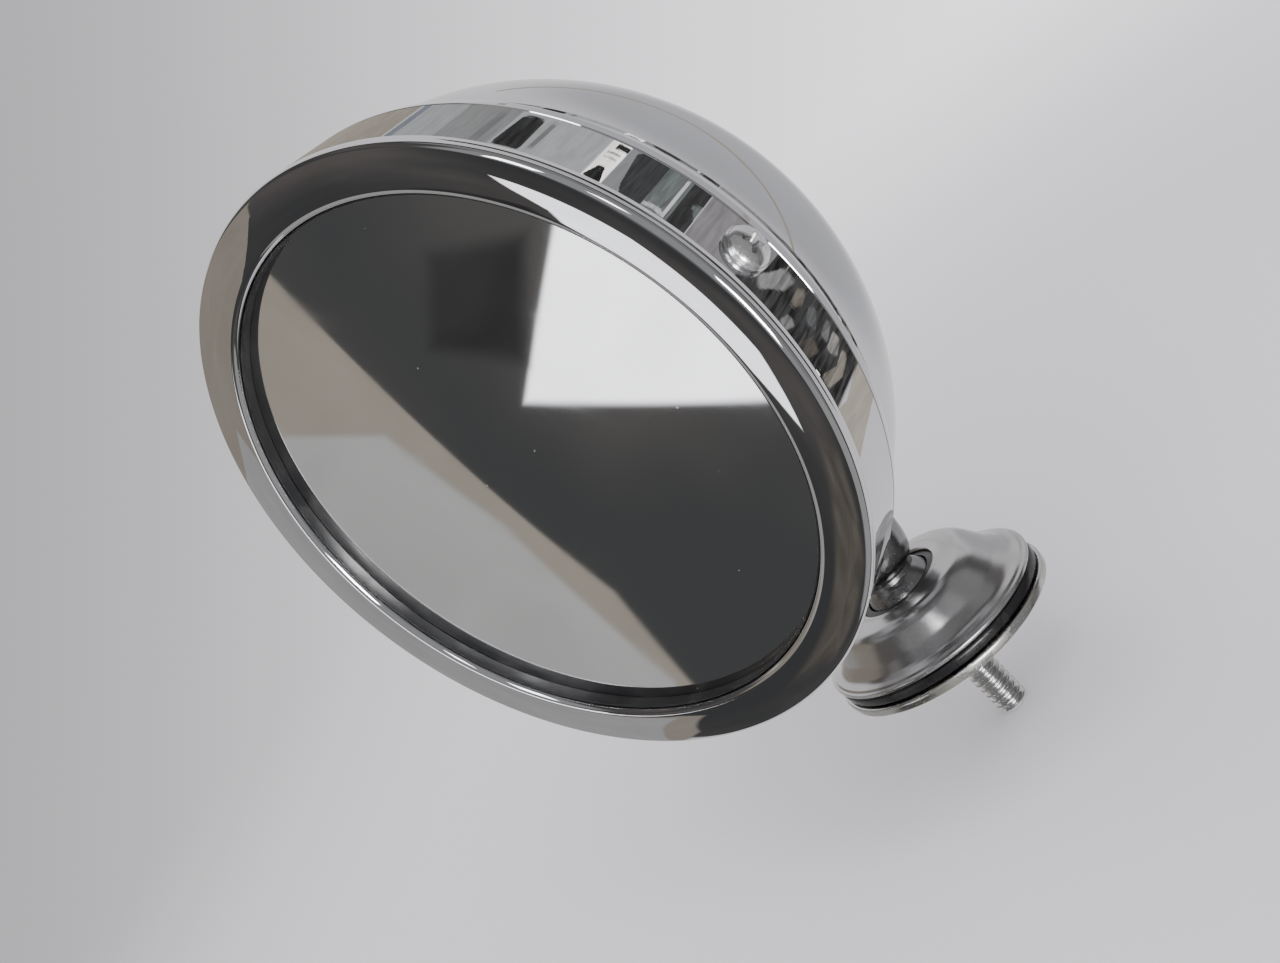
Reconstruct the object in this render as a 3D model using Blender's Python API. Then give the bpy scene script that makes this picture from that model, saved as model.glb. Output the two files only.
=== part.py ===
"""Round chrome door mirror: a spun bowl with a bezel and a convex glass on a ball-jointed pedestal.

Metres, +Z up along the pedestal axis, the origin at the centre of the mounting plate's underside.
The glass faces -Y. Everything on the head is built upright around the ball centre, and the
head_pivot empty then leans it back about the ball.
"""
from math import atan2, cos, exp, pi, radians, sin, sqrt

import bmesh
import bpy
from mathutils import Matrix, Vector

MM = 0.001
FIT_GAP = 0.3 * MM              # clearance between two pieces that touch on the real object

# ---- driving dimensions -------------------------------------------------------------------
BEZEL_RADIUS = 60.0 * MM        # outer edge of the bezel's front bead
LIP_RADIUS = 51.7 * MM          # clear opening of the bezel
BAND_DEPTH = 17.0 * MM          # front bead to rear bead
BOWL_RADIUS = 55.4 * MM         # bowl skirt, and the bowl where it leaves the bezel
BOWL_DEPTH = 50.0 * MM          # rear bead to the back of the bowl
BOWL_POWER = 1.9                # 2 would be a true ellipsoid
SHEET = 1.0 * MM                # wall of the bowl
GLASS_RADIUS = 55.5 * MM
GLASS_THICKNESS = 2.9 * MM
GLASS_CURVE = 1300.0 * MM       # radius of the convex glass
GLASS_FRONT = 1.4 * MM          # depth of the glass centre behind the front edge

BALL_HEIGHT = 10.2 * MM         # ball centre above the plate's underside
BALL_RADIUS = 7.4 * MM
HEAD_AXIS_HEIGHT = 83.9 * MM    # where the head axis crosses the pedestal axis
LEAN_BACK = radians(2.3)        # the glass looks up by this much at rest
FRONT_REACH = 47.7 * MM         # stem axis to the plane of the front bead
HEAD_RISE = (HEAD_AXIS_HEIGHT - BALL_HEIGHT) * cos(LEAN_BACK)

FOOT_X = 24.3 * MM              # half the oval footprint, side to side
FOOT_Y = 20.5 * MM              # half the oval footprint, front to back
PLATE_THICKNESS = 2.0 * MM
GASKET_THICKNESS = 2.2 * MM
FLANGE_BOTTOM = PLATE_THICKNESS + GASKET_THICKNESS + 2 * FIT_GAP
RIM_HEIGHT = 14.0 * MM          # top of the pedestal's cup
RIM_RADIUS = 10.2 * MM
STUD_RADIUS = 3.175 * MM
STUD_LENGTH = 20.6 * MM         # below the mounting face
PLATE_SCREW_X = 18.0 * MM

SCREW_ANGLE = radians(7.0)      # rim screw, above the horizontal on the +X side
SCREW_DEPTH = 8.6 * MM          # rim screw axis behind the front bead
SCREW_SHANK = 1.95 * MM
CLIP_STEP = radians(120.0)

ROUND_SEGMENTS = 48
SMALL_SEGMENTS = 32
SCREW_SEGMENTS = 20


# ---- materials ----------------------------------------------------------------------------
def material(name, colour, roughness, metallic):
    made = bpy.data.materials.new(name)
    made.use_nodes = True
    shader = made.node_tree.nodes["Principled BSDF"]
    shader.inputs["Base Color"].default_value = (*colour, 1.0)
    shader.inputs["Roughness"].default_value = roughness
    shader.inputs["Metallic"].default_value = metallic
    return made


def finishes():
    return {
        "chrome": material("chrome", (0.75, 0.75, 0.77), 0.06, 1.0),
        "mirror": material("mirror", (0.85, 0.86, 0.87), 0.01, 1.0),
        "rubber": material("rubber", (0.02, 0.02, 0.02), 0.6, 0.0),
        "nylon": material("nylon", (0.03, 0.03, 0.035), 0.4, 0.0),
        "foam": material("foam", (0.12, 0.12, 0.12), 0.9, 0.0),
        "zinc": material("zinc", (0.62, 0.62, 0.6), 0.3, 1.0),
        "spring": material("spring", (0.35, 0.36, 0.38), 0.35, 1.0),
    }


# ---- mesh helpers -------------------------------------------------------------------------
def clear_scene():
    for old in list(bpy.data.objects):
        bpy.data.objects.remove(old, do_unlink=True)


def finish_mesh(name, bm, finish, parent=None, smooth_angle=30.0):
    bmesh.ops.remove_doubles(bm, verts=bm.verts, dist=1e-7)
    bmesh.ops.recalc_face_normals(bm, faces=bm.faces)
    mesh = bpy.data.meshes.new(name)
    bm.to_mesh(mesh)
    bm.free()
    mesh.shade_smooth()
    mesh.set_sharp_from_angle(angle=radians(smooth_angle))
    made = bpy.data.objects.new(name, mesh)
    bpy.context.scene.collection.objects.link(made)
    if finish:
        mesh.materials.append(finish)
    made.parent = parent
    return made


def skin_rings(bm, rings, close):
    """Joins neighbouring rings of points; close also joins the last ring to the first."""
    loops = [[bm.verts.new(point) for point in ring] for ring in rings]
    pairs = list(zip(loops, loops[1:]))
    if close:
        pairs.append((loops[-1], loops[0]))
    for low, high in pairs:
        count = max(len(low), len(high))
        for i in range(count):
            corners = [low[i % len(low)], low[(i + 1) % len(low)],
                       high[(i + 1) % len(high)], high[i % len(high)]]
            unique = []
            for corner in corners:
                if corner not in unique:
                    unique.append(corner)
            if len(unique) > 2:
                bm.faces.new(unique)
    return loops


def circle(radius, height, segments):
    if radius < 1e-9:
        return [Vector((0.0, 0.0, height))]
    step = 2 * pi / segments
    return [Vector((radius * cos(i * step), radius * sin(i * step), height)) for i in range(segments)]


def oval(half_x, half_y, height, segments):
    step = 2 * pi / segments
    return [Vector((half_x * cos(i * step), half_y * sin(i * step), height)) for i in range(segments)]


def turned(name, outline, finish, parent=None, segments=ROUND_SEGMENTS):
    """Turns a closed outline of (radius, height) about local Z."""
    bm = bmesh.new()
    rings = [circle(radius, height, segments) for radius, height in outline]
    touches_axis = len(rings[0]) == 1 and len(rings[-1]) == 1
    skin_rings(bm, rings, close=not touches_axis)
    return finish_mesh(name, bm, finish, parent)


def prism(name, outline, half_width, finish, parent=None):
    """Extrudes an outline of (x, z) by half_width to both sides of local Y."""
    bm = bmesh.new()
    front = [bm.verts.new((x, -half_width, z)) for x, z in outline]
    back = [bm.verts.new((x, half_width, z)) for x, z in outline]
    bm.faces.new(front)
    bm.faces.new(reversed(back))
    for i in range(len(outline)):
        j = (i + 1) % len(outline)
        bm.faces.new((front[i], back[i], back[j], front[j]))
    return finish_mesh(name, bm, finish, parent)


def cut(target, cutter):
    """Takes cutter out of target and hides it as a guide."""
    cutter.hide_render = True
    cutter.display_type = 'WIRE'
    made = target.modifiers.new(cutter.name, 'BOOLEAN')
    made.operation = 'DIFFERENCE'
    made.solver = 'EXACT'
    made.object = cutter


def drill(target, name, radius, low, high, placed, parent=None, segments=SCREW_SEGMENTS):
    """Cuts a round hole along local Z from low to high, its corners off the target's own edges."""
    cutter = turned(name, [(0, low), (radius, low), (radius, high), (0, high)], None, parent, segments)
    cutter.matrix_local = placed @ Matrix.Rotation(radians(5.0), 4, 'Z')
    cut(target, cutter)


def arc(radius, centre_height, first, last, steps):
    """Points (radius, height) on a sphere's section, by polar angle from +Z in degrees."""
    angles = [radians(first + (last - first) * i / steps) for i in range(steps + 1)]
    return [(radius * sin(a), centre_height + radius * cos(a)) for a in angles]


# ---- the head's own frame -----------------------------------------------------------------
def head_frame():
    """An empty at the ball centre; its local axes are the upright head's."""
    pivot = bpy.data.objects.new("head_pivot", None)
    bpy.context.scene.collection.objects.link(pivot)
    pivot.location = (0.0, 0.0, BALL_HEIGHT)
    pivot.rotation_euler = (-LEAN_BACK, 0.0, 0.0)
    return pivot


def head_axis_frame():
    """Puts local Z along the head axis, pointing back, from the plane of the front bead."""
    return Matrix.Translation((0, -FRONT_REACH, HEAD_RISE)) @ Matrix.Rotation(-pi / 2, 4, 'X')


def radial_frame(angle, depth):
    """Puts local X outwards along a radius of the head, at a depth behind the front bead."""
    spin = Matrix.Rotation(-angle, 4, 'Z')
    return head_axis_frame() @ spin @ Matrix.Translation((0, 0, depth))


def screw_frame(angle, depth):
    """Puts local Z outwards along a radius of the head."""
    return radial_frame(angle, depth) @ Matrix.Rotation(pi / 2, 4, 'Y')


# ---- bezel, glass and what holds it -------------------------------------------------------
def bezel_outline():
    """(radius, depth) of the rolled ring: lip, shallow convex face, corner, band, rear bead, back."""
    r = BEZEL_RADIUS
    b = BAND_DEPTH
    return [
        (LIP_RADIUS, 0.5 * MM), (LIP_RADIUS, 0.1 * MM), (LIP_RADIUS + 0.4 * MM, -0.6 * MM),
        (LIP_RADIUS + 1.2 * MM, -0.9 * MM), (r - 3.8 * MM, -0.7 * MM), (r - 0.9 * MM, -0.2 * MM),
        (r - 0.3 * MM, 0.1 * MM), (r, 0.8 * MM), (r - 0.4 * MM, 1.8 * MM),
        (r - 1.7 * MM, b - 1.9 * MM), (r - 1.2 * MM, b - 0.9 * MM), (r - 1.7 * MM, b + 0.3 * MM),
        (r - 3.2 * MM, b + 0.6 * MM), (r - 4.3 * MM, b + 0.1 * MM), (r - 4.2 * MM, b - 0.7 * MM),
        (r - 2.6 * MM, b - 1.8 * MM), (r - 1.3 * MM, 2.0 * MM), (r - 1.9 * MM, 1.1 * MM),
        (r - 3.8 * MM, 0.3 * MM), (LIP_RADIUS + 1.2 * MM, 0.1 * MM), (LIP_RADIUS + 0.8 * MM, 0.5 * MM),
    ]


def make_bezel(pivot, finish):
    ring = turned("bezel_ring", bezel_outline(), finish["chrome"], pivot)
    ring.matrix_local = head_axis_frame()
    drill(ring, "bezel_screw_hole", 2.3 * MM, BEZEL_RADIUS - 5 * MM, BEZEL_RADIUS + 2 * MM,
          screw_frame(SCREW_ANGLE, SCREW_DEPTH), pivot)


def glass_sag(radius):
    return radius * radius / (2 * GLASS_CURVE)


def make_glass(pivot, finish):
    fractions = (0.0, 0.5, 0.8, 1.0)
    front = [(GLASS_RADIUS * f, GLASS_FRONT + glass_sag(GLASS_RADIUS * f)) for f in fractions]
    back = [(radius, depth + GLASS_THICKNESS) for radius, depth in reversed(front)]
    glass = turned("mirror_glass", front + back, finish["mirror"], pivot)
    glass.matrix_local = head_axis_frame()


def make_seal(pivot, finish):
    """Rubber channel: a lip in front of the glass and a leg around its edge."""
    back = GLASS_FRONT + glass_sag(LIP_RADIUS) - FIT_GAP
    leg_inner = GLASS_RADIUS + FIT_GAP
    leg_outer = BEZEL_RADIUS - 2.8 * MM
    outline = [
        (LIP_RADIUS + 0.1 * MM, 0.8 * MM), (leg_outer - 0.9 * MM, 0.9 * MM), (leg_outer, 1.6 * MM),
        (leg_outer, 5.4 * MM), (leg_inner, 5.4 * MM), (leg_inner, back), (LIP_RADIUS + 0.1 * MM, back),
    ]
    seal = turned("glass_seal", outline, finish["rubber"], pivot)
    seal.matrix_local = head_axis_frame()


PLATE_RADIUS = 50.0 * MM
PAD_BACK = 7.6 * MM
PLATE_BACK = PAD_BACK + FIT_GAP + 1.0 * MM


def make_backing(pivot, finish):
    glass_back = GLASS_FRONT + GLASS_THICKNESS + FIT_GAP
    fractions = (0.0, 0.6, 1.0)
    front = [(PLATE_RADIUS * f, glass_back + glass_sag(PLATE_RADIUS * f)) for f in fractions]
    outline = front + [(PLATE_RADIUS, PAD_BACK), (0, PAD_BACK)]
    pad = turned("backing_pad", outline, finish["foam"], pivot, SMALL_SEGMENTS)
    pad.matrix_local = head_axis_frame()
    plate_front = PAD_BACK + FIT_GAP
    outline = [(14 * MM, plate_front), (PLATE_RADIUS, plate_front), (PLATE_RADIUS, PLATE_BACK),
               (14 * MM, PLATE_BACK)]
    plate = turned("backing_plate", outline, finish["zinc"], pivot, SMALL_SEGMENTS)
    plate.matrix_local = head_axis_frame()


def make_clips(pivot, finish):
    """Three bent leaves inside the skirt that press the backing plate forwards."""
    wall = BOWL_RADIUS - SHEET - FIT_GAP
    low = PLATE_BACK + FIT_GAP
    leaf = 0.8 * MM
    foot = wall - 8.5 * MM
    high = 15.5 * MM
    outline = [(foot, low), (wall, low), (wall, high), (wall - leaf, high),
               (wall - leaf, low + leaf), (foot, low + leaf)]
    for i in range(3):
        angle = SCREW_ANGLE + CLIP_STEP * (i + 0.25)
        clip = prism("spring_clip_%d" % (i + 1), outline, 3.5 * MM, finish["spring"], pivot)
        clip.matrix_local = radial_frame(angle, 0)


# ---- bowl ---------------------------------------------------------------------------------
SKIRT_FRONT = 6.5 * MM


def bowl_radius(depth, inset=0.0):
    """Bowl radius at a depth behind the front bead; inset gives the inner wall."""
    t = max(0.0, (depth - BAND_DEPTH) / (BOWL_DEPTH - inset))
    return (BOWL_RADIUS - inset) * sqrt(max(0.0, 1.0 - t ** BOWL_POWER))


def bowl_outline():
    steps = 10
    outer = []
    inner = []
    for i in range(steps + 1):
        t = sin(pi / 2 * i / steps)
        outer.append((bowl_radius(BAND_DEPTH + t * BOWL_DEPTH), BAND_DEPTH + t * BOWL_DEPTH))
        deep = BAND_DEPTH + t * (BOWL_DEPTH - SHEET)
        inner.append((bowl_radius(deep, SHEET), deep))
    outer[-1] = (0.0, BAND_DEPTH + BOWL_DEPTH)
    inner[-1] = (0.0, BAND_DEPTH + BOWL_DEPTH - SHEET)
    return outer, inner


def make_bowl(pivot, finish):
    outer, inner = bowl_outline()
    outline = outer[::-1] + [(BOWL_RADIUS, SKIRT_FRONT), (BOWL_RADIUS - SHEET, SKIRT_FRONT)] + inner
    bowl = turned("housing_bowl", outline, finish["chrome"], pivot)
    bowl.matrix_local = head_axis_frame()
    drill(bowl, "skirt_screw_hole", 2.3 * MM, 52 * MM, 58 * MM,
          screw_frame(SCREW_ANGLE, SCREW_DEPTH), pivot)
    drill(bowl, "skirt_rivet_hole", 1.5 * MM, 52 * MM, 58 * MM,
          screw_frame(SCREW_ANGLE + pi, RIVET_DEPTH), pivot)
    drill(bowl, "bowl_bolt_hole", 3.4 * MM, -4 * MM, 4 * MM, bolt_frame(), pivot)


def make_rim_fixings(pivot, finish):
    """The pan-head screw, its U-shaped nut on the skirt's edge, and the hook opposite."""
    head_seat = BEZEL_RADIUS - 0.75 * MM
    outline = [(0, head_seat + 2.4 * MM), (1.9 * MM, head_seat + 2.2 * MM),
               (3.2 * MM, head_seat + 1.5 * MM), (3.8 * MM, head_seat + 0.4 * MM),
               (3.7 * MM, head_seat), (SCREW_SHANK, head_seat), (SCREW_SHANK, 51.6 * MM),
               (1.3 * MM, 50.7 * MM), (0, 50.7 * MM)]
    screw = turned("rim_screw", outline, finish["chrome"], pivot, SCREW_SEGMENTS)
    screw.matrix_local = screw_frame(SCREW_ANGLE, SCREW_DEPTH)
    slot = prism("screw_slot", [(-5 * MM, head_seat + 1.3 * MM), (5 * MM, head_seat + 1.3 * MM),
                                (5 * MM, head_seat + 4 * MM), (-5 * MM, head_seat + 4 * MM)],
                 0.45 * MM, None, pivot)
    slot.matrix_local = screw_frame(SCREW_ANGLE, SCREW_DEPTH)
    cut(screw, slot)

    inner = BOWL_RADIUS - SHEET - FIT_GAP
    outer = BOWL_RADIUS + FIT_GAP
    edge = SKIRT_FRONT - FIT_GAP
    leaf = 0.5 * MM
    outline = [(inner - 1.4 * MM, edge - leaf), (outer + 0.8 * MM, edge - leaf),
               (outer + 0.8 * MM, 12.5 * MM), (outer, 12.5 * MM), (outer, edge), (inner, edge),
               (inner, 12.5 * MM), (inner - 1.4 * MM, 12.5 * MM)]
    nut = prism("nut_clip", outline, 4.5 * MM, finish["spring"], pivot)
    nut.matrix_local = radial_frame(SCREW_ANGLE, 0)
    drill(nut, "nut_hole", SCREW_SHANK + FIT_GAP, 50 * MM, 58 * MM,
          screw_frame(SCREW_ANGLE, SCREW_DEPTH), pivot)
    make_hook(pivot, finish)


RIVET_DEPTH = 9.5 * MM


def make_hook(pivot, finish):
    """A bent tongue that the bezel's rear bead hooks over, with its rivet through the skirt."""
    base = BOWL_RADIUS + 2 * FIT_GAP
    outline = [(base, 6.8 * MM), (base + 0.7 * MM, 6.8 * MM), (base + 0.7 * MM, 14.0 * MM),
               (base + 1.0 * MM, 14.0 * MM), (base + 1.0 * MM, 14.7 * MM), (base, 14.7 * MM)]
    hook = prism("bezel_hook", outline, 4.0 * MM, finish["spring"], pivot)
    hook.matrix_local = radial_frame(SCREW_ANGLE + pi, 0)
    drill(hook, "hook_rivet_hole", 1.5 * MM, 53 * MM, 60 * MM,
          screw_frame(SCREW_ANGLE + pi, RIVET_DEPTH), pivot, 16)
    top = base + 0.7 * MM + FIT_GAP
    bottom = BOWL_RADIUS - SHEET - FIT_GAP
    shank = 1.15 * MM
    outline = [(0, top + 0.6 * MM), (1.5 * MM, top + 0.5 * MM), (2.1 * MM, top), (shank, top),
               (shank, bottom), (2.1 * MM, bottom), (1.5 * MM, bottom - 0.6 * MM),
               (0, bottom - 0.7 * MM)]
    rivet = turned("hook_rivet", outline, finish["zinc"], pivot, 16)
    rivet.matrix_local = screw_frame(SCREW_ANGLE + pi, RIVET_DEPTH)


# ---- neck, ball and the bolt that joins them to the bowl ----------------------------------
BOLT_Y = -3.0 * MM              # where the bolt crosses the bowl, before the stem axis
SADDLE_X = 12.0 * MM            # half the neck's saddle on the bowl
SADDLE_Y = 9.5 * MM
SADDLE_CENTRE_Y = -1.5 * MM
WAIST_RADIUS = 5.1 * MM
WAIST_HEIGHT = 6.2 * MM


def bowl_underside(x, y, gap=0.0, inset=0.0):
    """Height of the bowl's lower wall above the ball centre, lowered by gap along its normal."""
    depth = y + FRONT_REACH
    step = 0.1 * MM
    slope = (bowl_radius(depth + step, inset) - bowl_radius(depth - step, inset)) / (2 * step)
    radius = bowl_radius(depth, inset) + gap * sqrt(1 + slope * slope)
    return HEAD_RISE - sqrt(radius * radius - x * x)


def bolt_frame():
    """Origin on the bowl's outside under the bolt, local Z along its inward normal."""
    step = 0.1 * MM
    rise = bowl_underside(0, BOLT_Y + step) - bowl_underside(0, BOLT_Y - step)
    lean = atan2(rise, 2 * step)
    return Matrix.Translation((0, BOLT_Y, bowl_underside(0, BOLT_Y))) @ Matrix.Rotation(lean, 4, 'X')


def neck_swell(s):
    """Share of the neck's full flare at a fraction s of its height."""
    return 0.5 * (1 - exp(-s / 0.1)) + 0.5 * s ** 2.5


def make_neck(pivot, finish):
    rings = [[Vector((0, 0, -2.8 * MM))]]
    rings += [circle(r, z, SMALL_SEGMENTS) for r, z in arc(BALL_RADIUS, 0, 112.2, 43.6, 6)]
    steps = 9
    for k in range(steps + 1):
        s = k / steps
        flare = neck_swell(s) / neck_swell(1.0)
        half_x = WAIST_RADIUS + (SADDLE_X - WAIST_RADIUS) * flare
        half_y = WAIST_RADIUS + (SADDLE_Y - WAIST_RADIUS) * flare
        ring = []
        for point in oval(half_x, half_y, 0, SMALL_SEGMENTS):
            y = point.y + SADDLE_CENTRE_Y * s
            top = bowl_underside(point.x, y, FIT_GAP)
            ring.append(Vector((point.x, y, WAIST_HEIGHT + (top - WAIST_HEIGHT) * s)))
        rings.append(ring)
    for shrink in (0.66, 0.33, 0.0):
        ring = []
        for point in rings[-1]:
            x = point.x * shrink if shrink else 0.0
            y = SADDLE_CENTRE_Y + (point.y - SADDLE_CENTRE_Y) * shrink
            ring.append(Vector((x, y, bowl_underside(x, y, FIT_GAP))))
            if not shrink:
                break
        rings.append(ring)
    bm = bmesh.new()
    skin_rings(bm, rings, close=False)
    neck = finish_mesh("neck_stem", bm, finish["chrome"], pivot)
    drill(neck, "neck_bolt_hole", 3.3 * MM, -11 * MM, 3 * MM, bolt_frame(), pivot)


def make_bolt(pivot, finish):
    """Saddle plate, lock washer and hex bolt inside the bowl, along its inward normal."""
    frame = bolt_frame()
    rings = [circle(3.4 * MM, 3.2 * MM, SMALL_SEGMENTS), circle(11 * MM, 3.2 * MM, SMALL_SEGMENTS)]
    for radius in (11 * MM, 7 * MM, 3.4 * MM):
        ring = []
        for point in circle(radius, 0, SMALL_SEGMENTS):
            ring.append(surface_along(frame, point.x, point.y, SHEET, FIT_GAP))
        rings.append(ring)
    bm = bmesh.new()
    skin_rings(bm, rings, close=True)
    bracket = finish_mesh("stem_bracket", bm, finish["zinc"], pivot)
    bracket.matrix_local = frame
    low = 3.2 * MM + FIT_GAP
    washer = turned("stem_washer", [(3.4 * MM, low), (5.6 * MM, low), (5.6 * MM, low + 1.3 * MM),
                                    (3.4 * MM, low + 1.3 * MM)], finish["spring"], pivot, SCREW_SEGMENTS)
    washer.matrix_local = frame
    seat = low + 1.3 * MM + FIT_GAP
    bm = bmesh.new()
    hexagon = [circle(5.7 * MM, seat, 6), circle(5.7 * MM, seat + 3.6 * MM, 6),
               circle(4.9 * MM, seat + 4.0 * MM, 6)]
    skin_rings(bm, [[Vector((0, 0, seat))]] + hexagon + [[Vector((0, 0, seat + 4.0 * MM))]], close=False)
    bolt = finish_mesh("stem_bolt", bm, finish["zinc"], pivot)
    bolt.matrix_local = frame
    shank = turned("bolt_shank", [(0, -10.5 * MM), (3.0 * MM, -10.5 * MM), (3.0 * MM, seat + MM),
                                  (0, seat + MM)], None, pivot, SCREW_SEGMENTS)
    shank.matrix_local = frame
    shank.hide_render = True
    shank.display_type = 'WIRE'
    joined = bolt.modifiers.new("shank", 'BOOLEAN')
    joined.operation = 'UNION'
    joined.solver = 'EXACT'
    joined.object = shank


def surface_along(frame, x, y, inset, gap):
    """The point over (x, y) in the bolt's frame where the bowl's inner wall is, plus gap."""
    low, high = -6 * MM, 6 * MM
    for _ in range(30):
        middle = (low + high) / 2
        point = frame @ Vector((x, y, middle))
        if point.z < bowl_underside(point.x, point.y, 0.0, inset):
            low = middle
        else:
            high = middle
    return Vector((x, y, high + gap))


# ---- pedestal and what is in it -----------------------------------------------------------
LINER_SPHERE = BALL_RADIUS + FIT_GAP
SEAT_OUTER = LINER_SPHERE + 0.7 * MM
CUP_SPHERE = SEAT_OUTER + FIT_GAP
SOCKET_RADIUS = 9.1 * MM
LINER_BAND = (65.5, 82.0)       # polar angles from +Z, in degrees, that each piece covers
SEAT_BAND = (101.0, 118.0)      # clear of the liner when the seat has tilted its full 16.3
CUP_BAND = (110.0, 130.0)
CUP_LOW = 4.0 * MM              # underside of the spring cup


def pedestal_rings():
    """(half x, half y, height) from the flange up over the dome, over the rim and down inside."""
    low = FLANGE_BOTTOM
    edge = 0.4 * MM
    dome = [
        (1.0, low), (1.0, low + 0.7 * MM), (0.93, low + 1.0 * MM), (0.90, low + 1.3 * MM),
        (0.78, low + 2.2 * MM), (0.68, low + 3.4 * MM), (0.58, low + 5.0 * MM), (0.48, low + 6.7 * MM),
        (0.40, low + 7.8 * MM), (0.31, low + 8.6 * MM), (0.20, low + 9.0 * MM), (0.0, RIM_HEIGHT),
    ]
    rings = []
    for share, height in dome:
        half_x = RIM_RADIUS + (FOOT_X - edge - RIM_RADIUS) * share
        half_y = RIM_RADIUS + (FOOT_Y - edge - RIM_RADIUS) * share
        rings.append((half_x, half_y, height))
    lip = 8.4 * MM
    inside = [(lip + 0.3 * MM, RIM_HEIGHT),
              (lip, RIM_HEIGHT - 0.3 * MM), (SOCKET_RADIUS, RIM_HEIGHT - 0.6 * MM),
              (SOCKET_RADIUS, 6.6 * MM), (10.8 * MM, 5.8 * MM), (10.8 * MM, low)]
    rings += [(radius, radius, height) for radius, height in inside]
    return rings


def make_pedestal(finish):
    bm = bmesh.new()
    rings = [oval(x, y, z, ROUND_SEGMENTS) for x, y, z in pedestal_rings()]
    skin_rings(bm, rings, close=True)
    base = finish_mesh("pedestal_base", bm, finish["chrome"])
    for side, x in (("left", -PLATE_SCREW_X), ("right", PLATE_SCREW_X)):
        place = Matrix.Translation((x, 0, 0))
        drill(base, "boss_hole_" + side, 1.5 * MM, 3 * MM, 7.2 * MM, place, None, 16)


def make_socket(finish):
    """Fixed liner above the ball, tilting seat under it, and the swivelling cup on its spring."""
    centre = BALL_HEIGHT
    outer = SOCKET_RADIUS - FIT_GAP
    top = RIM_HEIGHT - 0.9 * MM
    low = centre + 1.1 * MM
    outline = [(outer, low), (outer, top)] + arc(LINER_SPHERE, centre, *LINER_BAND, 3)
    turned("ball_liner", outline, finish["nylon"], None, SMALL_SEGMENTS)

    outline = arc(LINER_SPHERE, centre, *SEAT_BAND, 3) + arc(SEAT_OUTER, centre, *SEAT_BAND[::-1], 3)
    turned("ball_seat", outline, finish["nylon"], None, SMALL_SEGMENTS)

    outline = arc(CUP_SPHERE, centre, *CUP_BAND, 3) + [(6.4 * MM, CUP_LOW), (8.5 * MM, CUP_LOW)]
    turned("spring_cup", outline, finish["zinc"], None, SMALL_SEGMENTS)
    make_wave_spring(finish)


def make_wave_spring(finish):
    middle = (PLATE_THICKNESS + CUP_LOW) / 2
    swing = 0.45 * MM
    half = 0.2 * MM
    corners = ((6.5 * MM, -half), (8.4 * MM, -half), (8.4 * MM, half), (6.5 * MM, half))
    rings = []
    for radius, lift in corners:
        ring = []
        for point in circle(radius, middle + lift, ROUND_SEGMENTS):
            wave = swing * cos(3 * atan2(point.y, point.x))
            ring.append(Vector((point.x, point.y, point.z + wave)))
        rings.append(ring)
    bm = bmesh.new()
    skin_rings(bm, rings, close=True)
    finish_mesh("wave_spring", bm, finish["spring"])


def oval_plate(name, half_x, half_y, low, high, hole, finish):
    bm = bmesh.new()
    rings = [oval(half_x, half_y, low, ROUND_SEGMENTS), oval(half_x, half_y, high, ROUND_SEGMENTS),
             circle(hole, high, ROUND_SEGMENTS), circle(hole, low, ROUND_SEGMENTS)]
    skin_rings(bm, rings, close=True)
    return finish_mesh(name, bm, finish)


def make_foot(finish):
    low = PLATE_THICKNESS + FIT_GAP
    gasket = oval_plate("base_gasket", FOOT_X - 0.5 * MM, FOOT_Y - 0.5 * MM, low,
                        low + GASKET_THICKNESS, 10.8 * MM, finish["rubber"])
    plate = oval_plate("mounting_plate", FOOT_X, FOOT_Y, 0, PLATE_THICKNESS,
                       STUD_RADIUS + FIT_GAP, finish["zinc"])
    outline = [(0, PLATE_THICKNESS + 1.3 * MM), (5.0 * MM, PLATE_THICKNESS + 1.3 * MM),
               (5.0 * MM, PLATE_THICKNESS + FIT_GAP), (STUD_RADIUS, PLATE_THICKNESS + FIT_GAP),
               (STUD_RADIUS, -STUD_LENGTH + 1.0 * MM), (STUD_RADIUS - 0.8 * MM, -STUD_LENGTH),
               (0, -STUD_LENGTH)]
    turned("mounting_stud", outline, finish["zinc"], None, 24)
    head = 2.6 * MM
    shank = 1.2 * MM
    for side, x in (("left", -PLATE_SCREW_X), ("right", PLATE_SCREW_X)):
        place = Matrix.Translation((x, 0, 0))
        drill(gasket, "gasket_hole_" + side, 1.5 * MM, MM, 6 * MM, place, None, 16)
        outline = [(0, -MM), (head + FIT_GAP, -MM), (head + FIT_GAP, 0.3 * MM),
                   (shank + FIT_GAP, 1.7 * MM), (shank + FIT_GAP, 3 * MM), (0, 3 * MM)]
        cutter = turned("plate_hole_" + side, outline, None, None, 16)
        cutter.matrix_local = place @ Matrix.Rotation(radians(5.0), 4, 'Z')
        cut(plate, cutter)
        outline = [(0, 0.1 * MM), (head, 0.1 * MM), (head, 0.3 * MM), (shank, 1.7 * MM),
                   (shank, 6.6 * MM), (0, 6.8 * MM)]
        screw = turned("plate_screw_" + side, outline, finish["zinc"], None, 16)
        screw.location = (x, 0, 0)


def main():
    clear_scene()
    finish = finishes()
    pivot = head_frame()
    make_bezel(pivot, finish)
    make_glass(pivot, finish)
    make_seal(pivot, finish)
    make_backing(pivot, finish)
    make_clips(pivot, finish)
    make_bowl(pivot, finish)
    make_rim_fixings(pivot, finish)
    make_neck(pivot, finish)
    make_bolt(pivot, finish)
    make_pedestal(finish)
    make_socket(finish)
    make_foot(finish)


main()
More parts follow.
